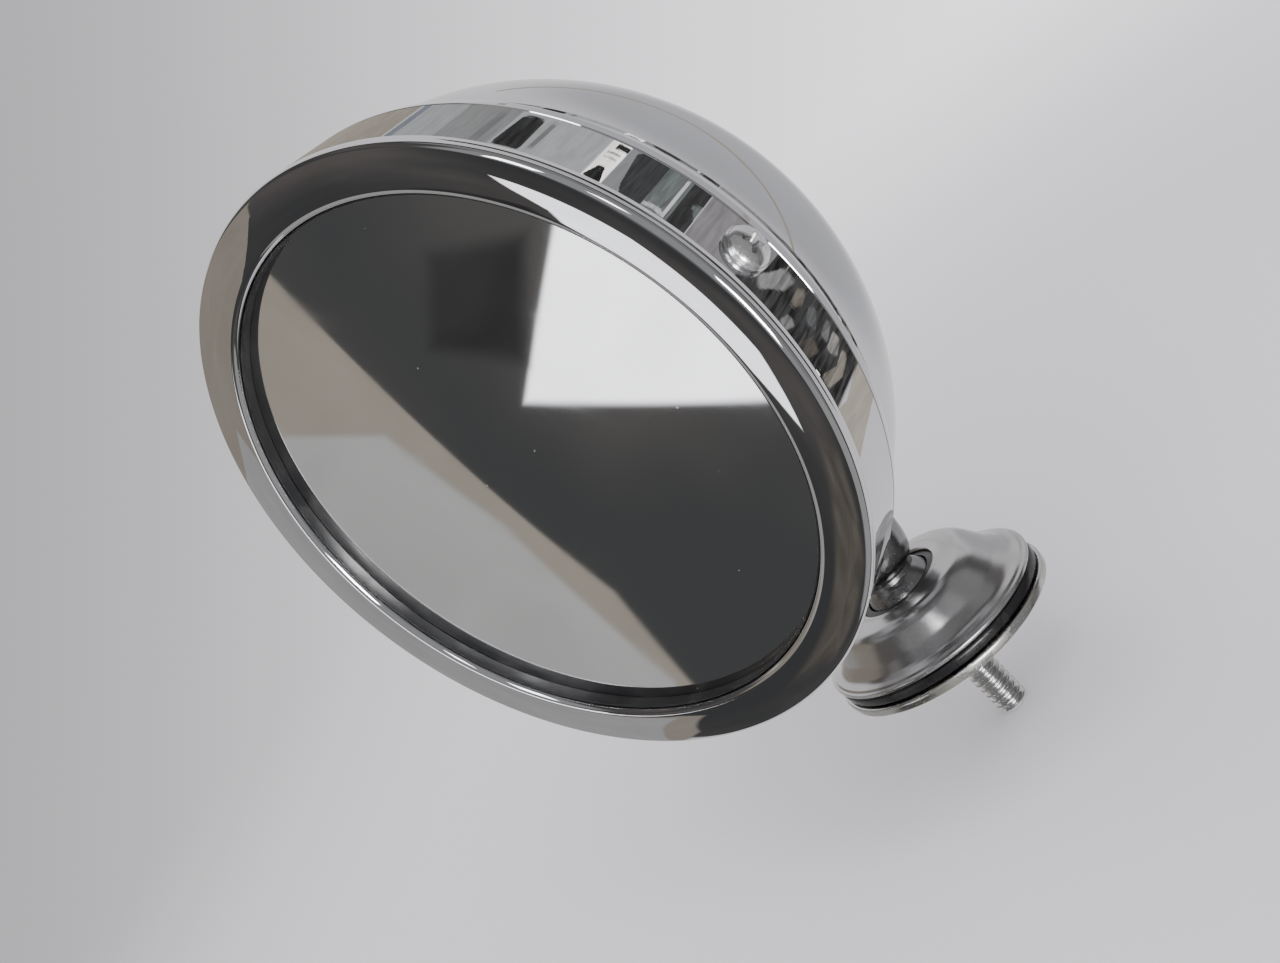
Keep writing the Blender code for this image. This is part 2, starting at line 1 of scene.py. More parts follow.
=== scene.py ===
"""Looks of the round chrome door mirror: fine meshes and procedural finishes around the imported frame.

Every head piece is turned about the head axis, in a local frame whose Z is the depth behind the
front edge. The studio is a pale floor, soft lights and cards that only polished metal reflects.
"""
from math import atan2, cos, exp, pi, radians, sin, sqrt, tan

import bmesh
import bpy
from mathutils import Matrix, Vector


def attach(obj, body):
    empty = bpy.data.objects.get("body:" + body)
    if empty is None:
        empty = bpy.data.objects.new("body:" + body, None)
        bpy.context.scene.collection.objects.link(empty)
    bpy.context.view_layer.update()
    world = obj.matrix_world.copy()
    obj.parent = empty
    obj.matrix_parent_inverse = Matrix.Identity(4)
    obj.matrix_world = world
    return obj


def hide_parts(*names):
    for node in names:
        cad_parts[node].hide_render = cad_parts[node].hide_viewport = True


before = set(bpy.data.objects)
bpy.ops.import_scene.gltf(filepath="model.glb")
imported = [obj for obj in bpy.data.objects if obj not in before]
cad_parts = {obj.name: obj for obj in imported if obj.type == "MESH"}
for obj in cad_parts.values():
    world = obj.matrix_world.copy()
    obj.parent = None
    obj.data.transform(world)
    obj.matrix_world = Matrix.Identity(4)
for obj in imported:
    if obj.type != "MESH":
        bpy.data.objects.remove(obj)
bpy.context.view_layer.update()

MM = 0.001

# ---- driving dimensions, the same as the CAD's --------------------------------------------
BEZEL_RADIUS = 60.0 * MM
LIP_RADIUS = 51.7 * MM
BAND_DEPTH = 17.0 * MM
BAND_SLOPE = 0.112              # how far the band narrows for each unit of depth
BAND_START = 1.95 * MM          # depth where the band begins
BAND_INSET = 0.30 * MM          # its radius there is this much under the bezel's
BOWL_RADIUS = 55.4 * MM
BOWL_DEPTH = 50.0 * MM
BOWL_POWER = 1.9
SHEET = 1.0 * MM
SKIRT_FRONT = 6.5 * MM
GLASS_RADIUS = 55.5 * MM
GLASS_THICKNESS = 2.9 * MM
GLASS_CURVE = 1300.0 * MM
GLASS_FRONT = 1.4 * MM
FIT_GAP = 0.3 * MM

BALL_HEIGHT = 10.2 * MM
BALL_RADIUS = 7.4 * MM
LEAN_BACK = radians(2.3)
FRONT_REACH = 47.7 * MM
HEAD_RISE = (83.9 * MM - BALL_HEIGHT) * cos(LEAN_BACK)

FOOT_X = 24.3 * MM
FOOT_Y = 20.5 * MM
PLATE_THICKNESS = 2.0 * MM
GASKET_THICKNESS = 2.2 * MM
FLANGE_BOTTOM = PLATE_THICKNESS + GASKET_THICKNESS + 2 * FIT_GAP
RIM_HEIGHT = 14.0 * MM
RIM_RADIUS = 10.2 * MM
SOCKET_RADIUS = 9.1 * MM
CAVITY_RADIUS = 10.8 * MM
STUD_RADIUS = 3.175 * MM
STUD_LENGTH = 20.6 * MM
PLATE_SCREW_X = 18.0 * MM

SCREW_ANGLE = radians(7.0)
SCREW_DEPTH = 8.6 * MM
SCREW_SHANK = 1.95 * MM
RIVET_DEPTH = 9.5 * MM

FINE = 256                      # segments around the head
MEDIUM = 128                    # segments around the pedestal and the neck
SMALL = 64


# ---- node building ------------------------------------------------------------------------
class Finish:
    """Builds one material's nodes with short calls."""

    def __init__(self, name, colour, roughness, metallic=0.0):
        self.material = bpy.data.materials.new(name)
        self.material.use_nodes = True
        self.tree = self.material.node_tree
        self.shader = self.tree.nodes["Principled BSDF"]
        self.set("Base Color", (*colour, 1.0))
        self.set("Roughness", roughness)
        self.set("Metallic", metallic)
        coordinates = self.tree.nodes.new("ShaderNodeTexCoord")
        self.place = coordinates.outputs["Object"]
        self.normal = None

    def set(self, socket, value):
        self.shader.inputs[socket].default_value = value

    def feed(self, socket, source):
        self.tree.links.new(source, self.shader.inputs[socket])

    def node(self, kind, inputs=(), **settings):
        made = self.tree.nodes.new(kind)
        for key, value in settings.items():
            setattr(made, key, value)
        for key, value in dict(inputs).items():
            if isinstance(value, bpy.types.NodeSocket):
                self.tree.links.new(value, made.inputs[key])
            else:
                made.inputs[key].default_value = value
        return made

    def noise(self, scale, detail=3.0, roughness=0.5, vector=None, distortion=0.0):
        made = self.node("ShaderNodeTexNoise", {
            "Vector": vector or self.place, "Scale": scale, "Detail": detail,
            "Roughness": roughness, "Distortion": distortion})
        return made.outputs["Fac"]

    def cells(self, scale, feature='F1'):
        return self.node("ShaderNodeTexVoronoi", {"Vector": self.place, "Scale": scale},
                         feature=feature)

    def remap(self, source, low, high, to_low, to_high):
        made = self.node("ShaderNodeMapRange", {
            "Value": source, "From Min": low, "From Max": high, "To Min": to_low, "To Max": to_high},
            interpolation_type='SMOOTHSTEP')
        return made.outputs["Result"]

    def math(self, operation, first, second=0.0):
        made = self.node("ShaderNodeMath", {0: first, 1: second}, operation=operation)
        return made.outputs[0]

    def mix(self, share, first, second):
        made = self.node("ShaderNodeMix", {0: share, 6: first, 7: second}, data_type='RGBA')
        return made.outputs[2]

    def bump(self, height, distance, strength=1.0):
        inputs = {"Height": height, "Distance": distance, "Strength": strength}
        if self.normal:
            inputs["Normal"] = self.normal
        self.normal = self.node("ShaderNodeBump", inputs).outputs["Normal"]
        self.feed("Normal", self.normal)

    def around(self):
        """(distance from local Z, local Z) of a turned piece, for marks that run round it."""
        parts = self.node("ShaderNodeSeparateXYZ", {0: self.place}).outputs
        square = self.math('ADD', self.math('POWER', parts[0], 2.0), self.math('POWER', parts[1], 2.0))
        return self.math('SQRT', square), parts[2], parts

    def lathe_vector(self, share):
        """Coordinates that change fast across a turned piece and slowly around it."""
        radius, height, parts = self.around()
        across = self.math('ADD', radius, height)
        made = self.node("ShaderNodeCombineXYZ", {
            0: across, 1: self.math('MULTIPLY', parts[0], share),
            2: self.math('MULTIPLY', parts[1], share)})
        return made.outputs[0]


def rgba(red, green, blue):
    return (red, green, blue, 1.0)


def chrome(name, waviness=0.010, pits=0.0, streaks=0.0, soft=0.0, tint=(0.66, 0.665, 0.685), gloss=0.02):
    """Bright chrome plate: haze, faint orange peel, hand-polish streaks and a few corrosion pits."""
    made = Finish(name, tint, 0.05, 1.0)
    haze = made.noise(90.0, 5.0, 0.6)
    grain = made.noise(2600.0, 2.0, 0.6)
    base = made.remap(haze, 0.35, 0.75, gloss + soft, 3 * gloss + soft)
    rough = made.math('ADD', base, made.remap(grain, 0.5, 0.9, 0.0, 2 * gloss))
    colour = made.mix(made.remap(haze, 0.3, 0.8, 0.0, 1.0), rgba(*tint),
                      rgba(tint[0] * 0.95, tint[1] * 0.94, tint[2] * 0.92))
    if streaks:
        lines = made.noise(1500.0, 2.0, 0.7, made.lathe_vector(0.02))
        rough = made.math('ADD', rough, made.remap(lines, 0.52, 0.75, 0.0, streaks))
        made.bump(lines, 0.0004 * MM * streaks * 100)
    if pits:
        cell = made.cells(170.0)
        near = made.remap(cell.outputs["Distance"], 0.015, 0.05, 1.0, 0.0)
        chosen = made.remap(made.noise(24.0, 1.0), 0.60, 0.66, 0.0, pits)
        spot = made.math('MULTIPLY', near, chosen)
        colour = made.mix(spot, colour, rgba(0.05, 0.048, 0.045))
        rough = made.math('ADD', rough, made.math('MULTIPLY', spot, 0.45))
        made.bump(made.math('MULTIPLY', spot, -1.0), 0.03 * MM)
    made.bump(made.noise(110.0, 2.0, 0.45), waviness * MM)
    made.bump(made.noise(900.0, 2.0, 0.5), 0.00035 * MM)
    made.feed("Base Color", colour)
    made.feed("Roughness", rough)
    return made.material


def silvered_glass():
    """Silvered glass: a clean reflection under a clear coat, with dust and a wiped haze."""
    made = Finish("silvered_glass", (0.86, 0.865, 0.87), 0.03, 1.0)
    wipe = made.noise(28.0, 4.0, 0.55, distortion=1.5)
    dust = made.cells(420.0)
    speck = made.math('MULTIPLY', made.remap(dust.outputs["Distance"], 0.03, 0.09, 1.0, 0.0),
                      made.remap(made.noise(300.0, 1.0), 0.62, 0.70, 0.0, 1.0))
    made.feed("Base Color", made.mix(speck, rgba(0.86, 0.865, 0.87), rgba(0.80, 0.80, 0.79)))
    made.feed("Roughness", made.math('ADD', made.remap(wipe, 0.45, 0.8, 0.025, 0.06),
                                     made.math('MULTIPLY', speck, 0.5)))
    made.set("Coat Weight", 0.6)
    made.set("Coat Roughness", 0.02)
    return made.material


def rubber(name, gloss):
    """Black rubber with a bloom of dust and a slightly uneven surface."""
    made = Finish(name, (0.012, 0.012, 0.013), gloss)
    bloom = made.noise(160.0, 5.0, 0.65)
    made.feed("Base Color", made.mix(made.remap(bloom, 0.45, 0.8, 0.0, 1.0),
                                     rgba(0.010, 0.010, 0.011), rgba(0.034, 0.033, 0.032)))
    made.feed("Roughness", made.remap(bloom, 0.3, 0.8, gloss - 0.08, gloss + 0.2))
    made.bump(made.noise(240.0, 3.0), 0.008 * MM)
    made.set("Specular IOR Level", 0.5)
    return made.material


def nylon():
    """Black acetal: a waxy sheen, with rings left by the turning tool."""
    made = Finish("turned_nylon", (0.02, 0.02, 0.022), 0.35)
    rings = made.noise(2200.0, 1.0, 0.5, made.lathe_vector(0.01))
    wear = made.noise(300.0, 4.0)
    made.feed("Base Color", made.mix(made.remap(wear, 0.4, 0.8, 0.0, 1.0),
                                     rgba(0.016, 0.016, 0.018), rgba(0.05, 0.05, 0.052)))
    made.feed("Roughness", made.remap(wear, 0.3, 0.8, 0.28, 0.5))
    made.bump(rings, 0.01 * MM)
    return made.material


def felt():
    """Charcoal felt: matted fibres, with lighter nap."""
    made = Finish("backing_felt", (0.10, 0.10, 0.105), 0.95)
    fibre = made.noise(2400.0, 6.0, 0.75, distortion=2.0)
    made.feed("Base Color", made.mix(fibre, rgba(0.05, 0.05, 0.055), rgba(0.20, 0.20, 0.21)))
    made.bump(fibre, 0.2 * MM)
    made.set("Sheen Weight", 0.4)
    return made.material


def zinc(name, brushed=True, tint=(0.60, 0.605, 0.61), gloss=0.18):
    """Zinc-plated steel: a faint spangle, rub marks and a thin yellow-blue passivate tint."""
    made = Finish(name, tint, gloss, 1.0)
    spangle = made.cells(700.0)
    cloud = made.noise(140.0, 5.0, 0.6)
    share = made.remap(cloud, 0.35, 0.75, 0.0, 1.0)
    warm = rgba(tint[0] * 0.98, tint[1] * 0.93, tint[2] * 0.84)
    made.feed("Base Color", made.mix(share, rgba(*tint), warm))
    rough = made.math('ADD', made.remap(cloud, 0.3, 0.8, gloss - 0.06, gloss + 0.12),
                      made.remap(spangle.outputs["Distance"], 0.0, 0.6, 0.0, 0.05))
    if brushed:
        lines = made.noise(1800.0, 2.0, 0.7, made.lathe_vector(0.02))
        rough = made.math('ADD', rough, made.remap(lines, 0.5, 0.8, 0.0, 0.08))
        made.bump(lines, 0.004 * MM)
    made.feed("Roughness", rough)
    made.bump(made.noise(1100.0, 4.0), 0.006 * MM)
    return made.material


def spring_steel():
    """Blued spring steel with a rolled grain and oil-darkened patches."""
    made = Finish("spring_steel", (0.22, 0.23, 0.26), 0.3, 1.0)
    patch = made.noise(260.0, 5.0, 0.6)
    made.feed("Base Color", made.mix(made.remap(patch, 0.35, 0.75, 0.0, 1.0),
                                     rgba(0.30, 0.31, 0.34), rgba(0.11, 0.115, 0.14)))
    made.feed("Roughness", made.remap(patch, 0.3, 0.8, 0.22, 0.42))
    made.bump(made.noise(1600.0, 3.0, 0.7), 0.008 * MM)
    return made.material


def finishes():
    return {
        "bowl": chrome("chrome_spun_bowl", waviness=0.006, streaks=0.006, gloss=0.012),
        "bezel": chrome("chrome_rolled_bezel", waviness=0.0035, pits=0.9, streaks=0.010, gloss=0.005),
        "screw": chrome("chrome_screw", waviness=0.004, soft=0.22, tint=(0.78, 0.78, 0.79)),
        "casting": chrome("chrome_casting", waviness=0.075, soft=0.19, streaks=0.006,
                          tint=(0.54, 0.54, 0.545)),
        # painted shade: the neck is the casting's chrome with its tint darkened to stand for the shade it
        # sits in under the bowl
        "neck": chrome("chrome_neck_painted_shade", waviness=0.05, soft=0.22, tint=(0.27, 0.27, 0.275)),
        "glass": silvered_glass(),
        "seal": rubber("seal_rubber", gloss=0.36),
        "gasket": rubber("gasket_rubber", gloss=0.24),
        "nylon": nylon(),
        "felt": felt(),
        "zinc": zinc("zinc_plated_steel"),
        "stud": zinc("zinc_plated_thread", brushed=False, gloss=0.2),
        "spring": spring_steel(),
    }


# ---- mesh helpers -------------------------------------------------------------------------
def circle(radius, height, segments):
    if radius < 1e-9:
        return [Vector((0.0, 0.0, height))]
    step = 2 * pi / segments
    return [Vector((radius * cos(i * step), radius * sin(i * step), height)) for i in range(segments)]


def oval(half_x, half_y, height, segments):
    step = 2 * pi / segments
    return [Vector((half_x * cos(i * step), half_y * sin(i * step), height)) for i in range(segments)]


def skin_rings(bm, rings, close):
    """Joins neighbouring rings of points; close also joins the last ring to the first."""
    loops = [[bm.verts.new(point) for point in ring] for ring in rings]
    pairs = list(zip(loops, loops[1:]))
    if close:
        pairs.append((loops[-1], loops[0]))
    for low, high in pairs:
        for i in range(max(len(low), len(high))):
            corners = [low[i % len(low)], low[(i + 1) % len(low)],
                       high[(i + 1) % len(high)], high[i % len(high)]]
            unique = list(dict.fromkeys(corners))
            if len(unique) > 2:
                bm.faces.new(unique)


def filleted(corners, steps=6):
    """Rounds each (radius, height, fillet) corner of a closed outline with an arc."""
    points = []
    for i, (x, y, fillet) in enumerate(corners):
        here = Vector((x, y))
        before = Vector(corners[i - 1][:2]) - here
        after = Vector(corners[(i + 1) % len(corners)][:2]) - here
        half = before.angle(after) / 2
        if fillet <= 0 or half > 1.55:
            points.append((x, y))
            continue
        reach = min(fillet / tan(half), 0.49 * before.length, 0.49 * after.length)
        middle = (before.normalized() + after.normalized()).normalized()
        centre = here + middle * (reach / cos(half))
        start = here + before.normalized() * reach - centre
        end = here + after.normalized() * reach - centre
        sweep = start.angle(end)
        for k in range(steps + 1):
            first = sin(sweep * (1 - k / steps)) / sin(sweep)
            last = sin(sweep * k / steps) / sin(sweep)
            points.append(tuple(centre + start * first + end * last))
    return points


def turned_bmesh(outline, segments):
    bm = bmesh.new()
    rings = [circle(radius, height, segments) for radius, height in outline]
    skin_rings(bm, rings, close=not (len(rings[0]) == 1 and len(rings[-1]) == 1))
    return bm


def solid(name, bm, place=Matrix.Identity(4)):
    bmesh.ops.remove_doubles(bm, verts=bm.verts, dist=1e-7)
    bmesh.ops.recalc_face_normals(bm, faces=bm.faces)
    mesh = bpy.data.meshes.new(name)
    bm.to_mesh(mesh)
    bm.free()
    made = bpy.data.objects.new(name, mesh)
    bpy.context.scene.collection.objects.link(made)
    made.matrix_world = place
    return made


def carve(target, cutters):
    """Takes the cutters out of the target for good, and removes them."""
    for cutter in cutters:
        made = target.modifiers.new(cutter.name, 'BOOLEAN')
        made.operation = 'DIFFERENCE'
        made.solver = 'EXACT'
        made.object = cutter
    bpy.context.view_layer.update()
    evaluated = target.evaluated_get(bpy.context.evaluated_depsgraph_get())
    mesh = bpy.data.meshes.new_from_object(evaluated)
    target.modifiers.clear()
    target.data = mesh
    for cutter in cutters:
        bpy.data.objects.remove(cutter, do_unlink=True)


def drill_bit(radius, low, high, place, segments=SMALL):
    outline = [(0, low), (radius, low), (radius, high), (0, high)]
    return solid("drill_bit", turned_bmesh(outline, segments), place)


def put(piece, body, slot, finish, *nodes, smooth=32.0):
    """Finishes a piece: smooth shading, its material, and the body that it rides on."""
    piece.data.shade_smooth()
    piece.data.set_sharp_from_angle(angle=radians(smooth))
    piece.data.materials.clear()
    piece.data.materials.append(finish)
    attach(piece, body)
    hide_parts(*nodes)
    return piece


# ---- the head's frames --------------------------------------------------------------------
PIVOT = Matrix.Translation((0, 0, BALL_HEIGHT)) @ Matrix.Rotation(-LEAN_BACK, 4, 'X')
HEAD_AXIS = PIVOT @ Matrix.Translation((0, -FRONT_REACH, HEAD_RISE)) @ Matrix.Rotation(-pi / 2, 4, 'X')


def screw_frame(angle, depth):
    """Puts local Z outwards along a radius of the head."""
    spin = Matrix.Rotation(-angle, 4, 'Z')
    return HEAD_AXIS @ spin @ Matrix.Translation((0, 0, depth)) @ Matrix.Rotation(pi / 2, 4, 'Y')


# ---- head ---------------------------------------------------------------------------------
FACE_CURVE = 28.0 * MM          # section radius of the bezel's shallow face
FACE_END = radians(13.0)        # its slope where the outer corner starts
LIP_ROUND = 1.1 * MM            # section radius of the inner lip
CORNER_ROUND = 0.95 * MM        # section radius of the outer corner
FACE_TOP = -0.88 * MM           # depth of the face's crest


def bezel_outline():
    """The rolled ring: lip, face, outer corner, band, rear hem and the inside."""
    r, b = BEZEL_RADIUS, BAND_DEPTH
    crest = LIP_RADIUS + LIP_ROUND
    lip = [(LIP_RADIUS, 0.5 * MM)]
    for i in range(13):
        turn = radians(90 - 7.5 * i)
        lip.append((crest - LIP_ROUND * sin(turn), FACE_TOP + LIP_ROUND * (1 - cos(turn))))
    face = []
    for i in range(1, 25):
        slope = FACE_END * i / 24
        face.append((crest + FACE_CURVE * sin(slope), FACE_TOP + FACE_CURVE * (1 - cos(slope))))
    middle_radius = face[-1][0] - CORNER_ROUND * sin(FACE_END)
    middle_depth = face[-1][1] + CORNER_ROUND * cos(FACE_END)
    corner = []
    for i in range(1, 17):
        slope = FACE_END + (radians(100) - FACE_END) * i / 16
        corner.append((middle_radius + CORNER_ROUND * sin(slope), middle_depth - CORNER_ROUND * cos(slope)))
    band = [(r - 0.35 * MM, 1.45 * MM), (r - 0.36 * MM, 1.65 * MM), (r - 0.30 * MM, 1.85 * MM)]
    rear = b - 2.9 * MM
    for k in range(17):
        run = (rear - BAND_START) * k / 16
        band.append((r - BAND_INSET - run * BAND_SLOPE, BAND_START + run))
    band += [(r - 1.84 * MM, rear + 0.14 * MM), (r - 1.84 * MM, rear + 0.32 * MM)]
    hem = [(r - 1.72 * MM, rear + 0.40 * MM), (r - 1.70 * MM, rear + 0.52 * MM)]
    hem += [(r - (1.72 + 0.46 * k / 6) * MM, rear + (0.62 + 1.5 * k / 6) * MM) for k in range(7)]
    hem += [(r - 2.32 * MM, b - 0.38 * MM), (r - 2.58 * MM, b - 0.12 * MM), (r - 3.0 * MM, b + 0.06 * MM)]
    inside = [
        (r - 4.0 * MM, b + 0.1 * MM), (r - 4.2 * MM, b - 0.3 * MM), (r - 3.9 * MM, b - 0.8 * MM),
        (r - 2.9 * MM, b - 2.0 * MM), (r - 1.35 * MM, 2.2 * MM), (r - 1.9 * MM, 1.2 * MM),
        (r - 3.8 * MM, 0.3 * MM), (LIP_RADIUS + 1.2 * MM, 0.1 * MM), (LIP_RADIUS + 0.8 * MM, 0.5 * MM)]
    return lip + face + corner + band + hem + inside


def make_bezel(finish):
    ring = solid("bezel", turned_bmesh(bezel_outline(), FINE * 2), HEAD_AXIS)
    hole = drill_bit(2.3 * MM, BEZEL_RADIUS - 5 * MM, BEZEL_RADIUS + 2 * MM,
                     screw_frame(SCREW_ANGLE, SCREW_DEPTH))
    carve(ring, [hole])
    put(ring, "head", "chrome_bezel", finish["bezel"], "bezel_ring", smooth=40.0)


def bowl_radius(depth, inset=0.0):
    t = max(0.0, (depth - BAND_DEPTH) / (BOWL_DEPTH - inset))
    return (BOWL_RADIUS - inset) * sqrt(max(0.0, 1.0 - t ** BOWL_POWER))


def bowl_underside(x, y, gap=0.0):
    """Height of the bowl's lower wall above the ball centre, lowered by gap along its normal."""
    depth = y + FRONT_REACH
    step = 0.1 * MM
    slope = (bowl_radius(depth + step) - bowl_radius(depth - step)) / (2 * step)
    radius = bowl_radius(depth) + gap * sqrt(1 + slope * slope)
    return HEAD_RISE - sqrt(radius * radius - x * x)


BOLT_Y = -3.0 * MM


def bolt_frame():
    """Origin on the bowl's outside under the bolt, local Z along its inward normal."""
    step = 0.1 * MM
    rise = bowl_underside(0, BOLT_Y + step) - bowl_underside(0, BOLT_Y - step)
    place = Matrix.Translation((0, BOLT_Y, bowl_underside(0, BOLT_Y)))
    return PIVOT @ place @ Matrix.Rotation(atan2(rise, 2 * step), 4, 'X')


def make_bowl(finish):
    steps = 72
    outer, inner = [], []
    for i in range(steps + 1):
        t = sin(pi / 2 * i / steps)
        depth = BAND_DEPTH + t * BOWL_DEPTH
        deep = BAND_DEPTH + t * (BOWL_DEPTH - SHEET)
        outer.append((bowl_radius(depth) if i < steps else 0.0, depth))
        inner.append((bowl_radius(deep, SHEET) if i < steps else 0.0, deep))
    edge = [(BOWL_RADIUS, SKIRT_FRONT + 0.3 * MM), (BOWL_RADIUS - 0.3 * MM, SKIRT_FRONT),
            (BOWL_RADIUS - SHEET + 0.3 * MM, SKIRT_FRONT), (BOWL_RADIUS - SHEET, SKIRT_FRONT + 0.3 * MM)]
    bowl = solid("spun_bowl", turned_bmesh(outer[::-1] + edge + inner, FINE), HEAD_AXIS)
    holes = [
        drill_bit(2.3 * MM, 52 * MM, 58 * MM, screw_frame(SCREW_ANGLE, SCREW_DEPTH)),
        drill_bit(1.5 * MM, 52 * MM, 58 * MM, screw_frame(SCREW_ANGLE + pi, RIVET_DEPTH)),
        drill_bit(3.4 * MM, -4 * MM, 4 * MM, bolt_frame())]
    carve(bowl, holes)
    put(bowl, "head", "chrome_bowl", finish["bowl"], "housing_bowl")


def glass_sag(radius):
    return radius * radius / (2 * GLASS_CURVE)


def make_glass(finish):
    bevel = 0.5 * MM
    flat = GLASS_RADIUS - bevel
    front = [(flat * i / 40, GLASS_FRONT + glass_sag(flat * i / 40)) for i in range(41)]
    side = [(GLASS_RADIUS, front[-1][1] + bevel), (GLASS_RADIUS, front[-1][1] + GLASS_THICKNESS - bevel)]
    back = [(radius, depth + GLASS_THICKNESS) for radius, depth in reversed(front)]
    glass = solid("convex_glass", turned_bmesh(front + side + back, FINE), HEAD_AXIS)
    put(glass, "head", "mirror_glass", finish["glass"], "mirror_glass")


def make_seal(finish):
    """Rubber channel with a rounded lip that meets the glass and a leg around its edge."""
    back = GLASS_FRONT + glass_sag(LIP_RADIUS) - 0.05 * MM
    leg_inner = GLASS_RADIUS + FIT_GAP
    leg_outer = BEZEL_RADIUS - 2.8 * MM
    outline = filleted([
        (LIP_RADIUS + 0.35 * MM, 0.75 * MM, 0.05 * MM), (leg_outer - 0.9 * MM, 1.0 * MM, 0.3 * MM),
        (leg_outer, 1.7 * MM, 0.3 * MM), (leg_outer, 5.4 * MM, 0.3 * MM), (leg_inner, 5.4 * MM, 0.2 * MM),
        (leg_inner, back, 0.1 * MM), (LIP_RADIUS - 0.5 * MM, back, 0.12 * MM),
        (LIP_RADIUS - 0.55 * MM, 0.1 * MM, 0.2 * MM), (LIP_RADIUS - 0.08 * MM, 0.1 * MM, 0.2 * MM),
        (LIP_RADIUS - 0.08 * MM, 0.75 * MM, 0.05 * MM)], 5)
    seal = solid("glass_channel", turned_bmesh(outline, FINE), HEAD_AXIS)
    put(seal, "head", "black_rubber", finish["seal"], "glass_seal")


def make_rim_screw(finish):
    """Pan-head screw with a cross recess, and a washer face under its head."""
    seat = BEZEL_RADIUS - 0.75 * MM
    crown = 2.45 * MM
    dome = [(3.55 * MM * sin(radians(a)), seat + 0.75 * MM + (crown - 0.75 * MM) * cos(radians(a)))
            for a in range(0, 85, 6)]
    outline = dome + filleted([
        (3.62 * MM, seat + 0.95 * MM, 0), (3.8 * MM, seat + 0.6 * MM, 0.15 * MM),
        (3.8 * MM, seat, 0.1 * MM), (SCREW_SHANK, seat, 0), (SCREW_SHANK, 51.6 * MM, 0),
        (1.3 * MM, 50.7 * MM, 0)], 4) + [(0, 50.7 * MM)]
    place = screw_frame(SCREW_ANGLE, SCREW_DEPTH)
    screw = solid("bezel_screw", turned_bmesh(outline, SMALL), place)
    blades = []
    for turn in (25.0, 115.0):
        bm = bmesh.new()
        rings = []
        for half_length, half_width, height in ((0.7, 0.22, 0.7), (1.9, 0.42, 2.0), (2.5, 0.5, 3.4)):
            corners = [(-half_length, -half_width), (half_length, -half_width),
                       (half_length, half_width), (-half_length, half_width)]
            rings.append([Vector((x * MM, y * MM, seat + height * MM)) for x, y in corners])
        middle = [[Vector((0, 0, seat + 0.7 * MM))], [Vector((0, 0, seat + 3.4 * MM))]]
        skin_rings(bm, [middle[0]] + rings + [middle[1]], close=False)
        blades.append(solid("recess_blade", bm, place @ Matrix.Rotation(radians(turn), 4, 'Z')))
    carve(screw, blades)
    put(screw, "head", "chrome_screw", finish["screw"], "rim_screw", smooth=38.0)


# ---- neck ---------------------------------------------------------------------------------
SADDLE_X = 12.0 * MM
SADDLE_Y = 9.5 * MM
SADDLE_CENTRE_Y = -1.5 * MM
WAIST_RADIUS = 5.1 * MM
WAIST_HEIGHT = 6.2 * MM


def neck_swell(s):
    return 0.5 * (1 - exp(-s / 0.1)) + 0.5 * s ** 2.5


def make_neck(finish):
    """Ball, waist and a flare whose top edge follows the bowl."""
    rings = [[Vector((0, 0, -2.8 * MM))]]
    first, last, ball_steps = 112.2, 43.6, 24
    for k in range(ball_steps + 1):
        angle = radians(first + (last - first) * k / ball_steps)
        rings.append(circle(BALL_RADIUS * sin(angle), BALL_RADIUS * cos(angle), MEDIUM))
    steps = 48
    for k in range(steps + 1):
        s = k / steps
        flare = neck_swell(s) / neck_swell(1.0)
        half_x = WAIST_RADIUS + (SADDLE_X - WAIST_RADIUS) * flare
        half_y = WAIST_RADIUS + (SADDLE_Y - WAIST_RADIUS) * flare
        ring = []
        for point in oval(half_x, half_y, 0, MEDIUM):
            y = point.y + SADDLE_CENTRE_Y * s
            top = bowl_underside(point.x, y, FIT_GAP)
            ring.append(Vector((point.x, y, WAIST_HEIGHT + (top - WAIST_HEIGHT) * s)))
        rings.append(ring)
    rim = rings[-1]
    for shrink in (0.97, 0.8, 0.6, 0.4, 0.2):
        ring = []
        for point in rim:
            x = point.x * shrink
            y = SADDLE_CENTRE_Y + (point.y - SADDLE_CENTRE_Y) * shrink
            ring.append(Vector((x, y, bowl_underside(x, y, FIT_GAP))))
        rings.append(ring)
    rings.append([Vector((0, SADDLE_CENTRE_Y, bowl_underside(0, SADDLE_CENTRE_Y, FIT_GAP)))])
    bm = bmesh.new()
    skin_rings(bm, rings, close=False)
    neck = solid("cast_neck", bm, PIVOT)
    carve(neck, [drill_bit(3.3 * MM, -11 * MM, 3 * MM, bolt_frame())])
    # the neck wears the darkened chrome, whose tint carries painted shade
    put(neck, "head", "chrome_casting", finish["neck"], "neck_stem")


# ---- pedestal -----------------------------------------------------------------------------
FLANGE_EDGE = 0.4 * MM


def pedestal_section():
    """(share of the foot's spread, height): flange, ridge line, concave flank and broad shoulder."""
    low = FLANGE_BOTTOM
    unit = 12 * MM               # spreads are drawn at this scale, so that fillets stay round
    corners = [
        (1.0, low, 0.1), (1.0, low + 0.7 * MM, 0.3), (0.95, low + 0.95 * MM, 0.3),
        (0.92, low + 1.3 * MM, 0.25), (0.80, low + 1.9 * MM, 4.0), (0.64, low + 3.9 * MM, 5.0),
        (0.44, low + 7.6 * MM, 5.0), (0.30, low + 8.85 * MM, 3.0), (0.03, RIM_HEIGHT, 3.0)]
    outline = [(share * unit, height, fillet * MM) for share, height, fillet in corners]
    return [(x / unit, y) for x, y in filleted(outline + [(-unit, RIM_HEIGHT, 0)], 8)[:-1]]


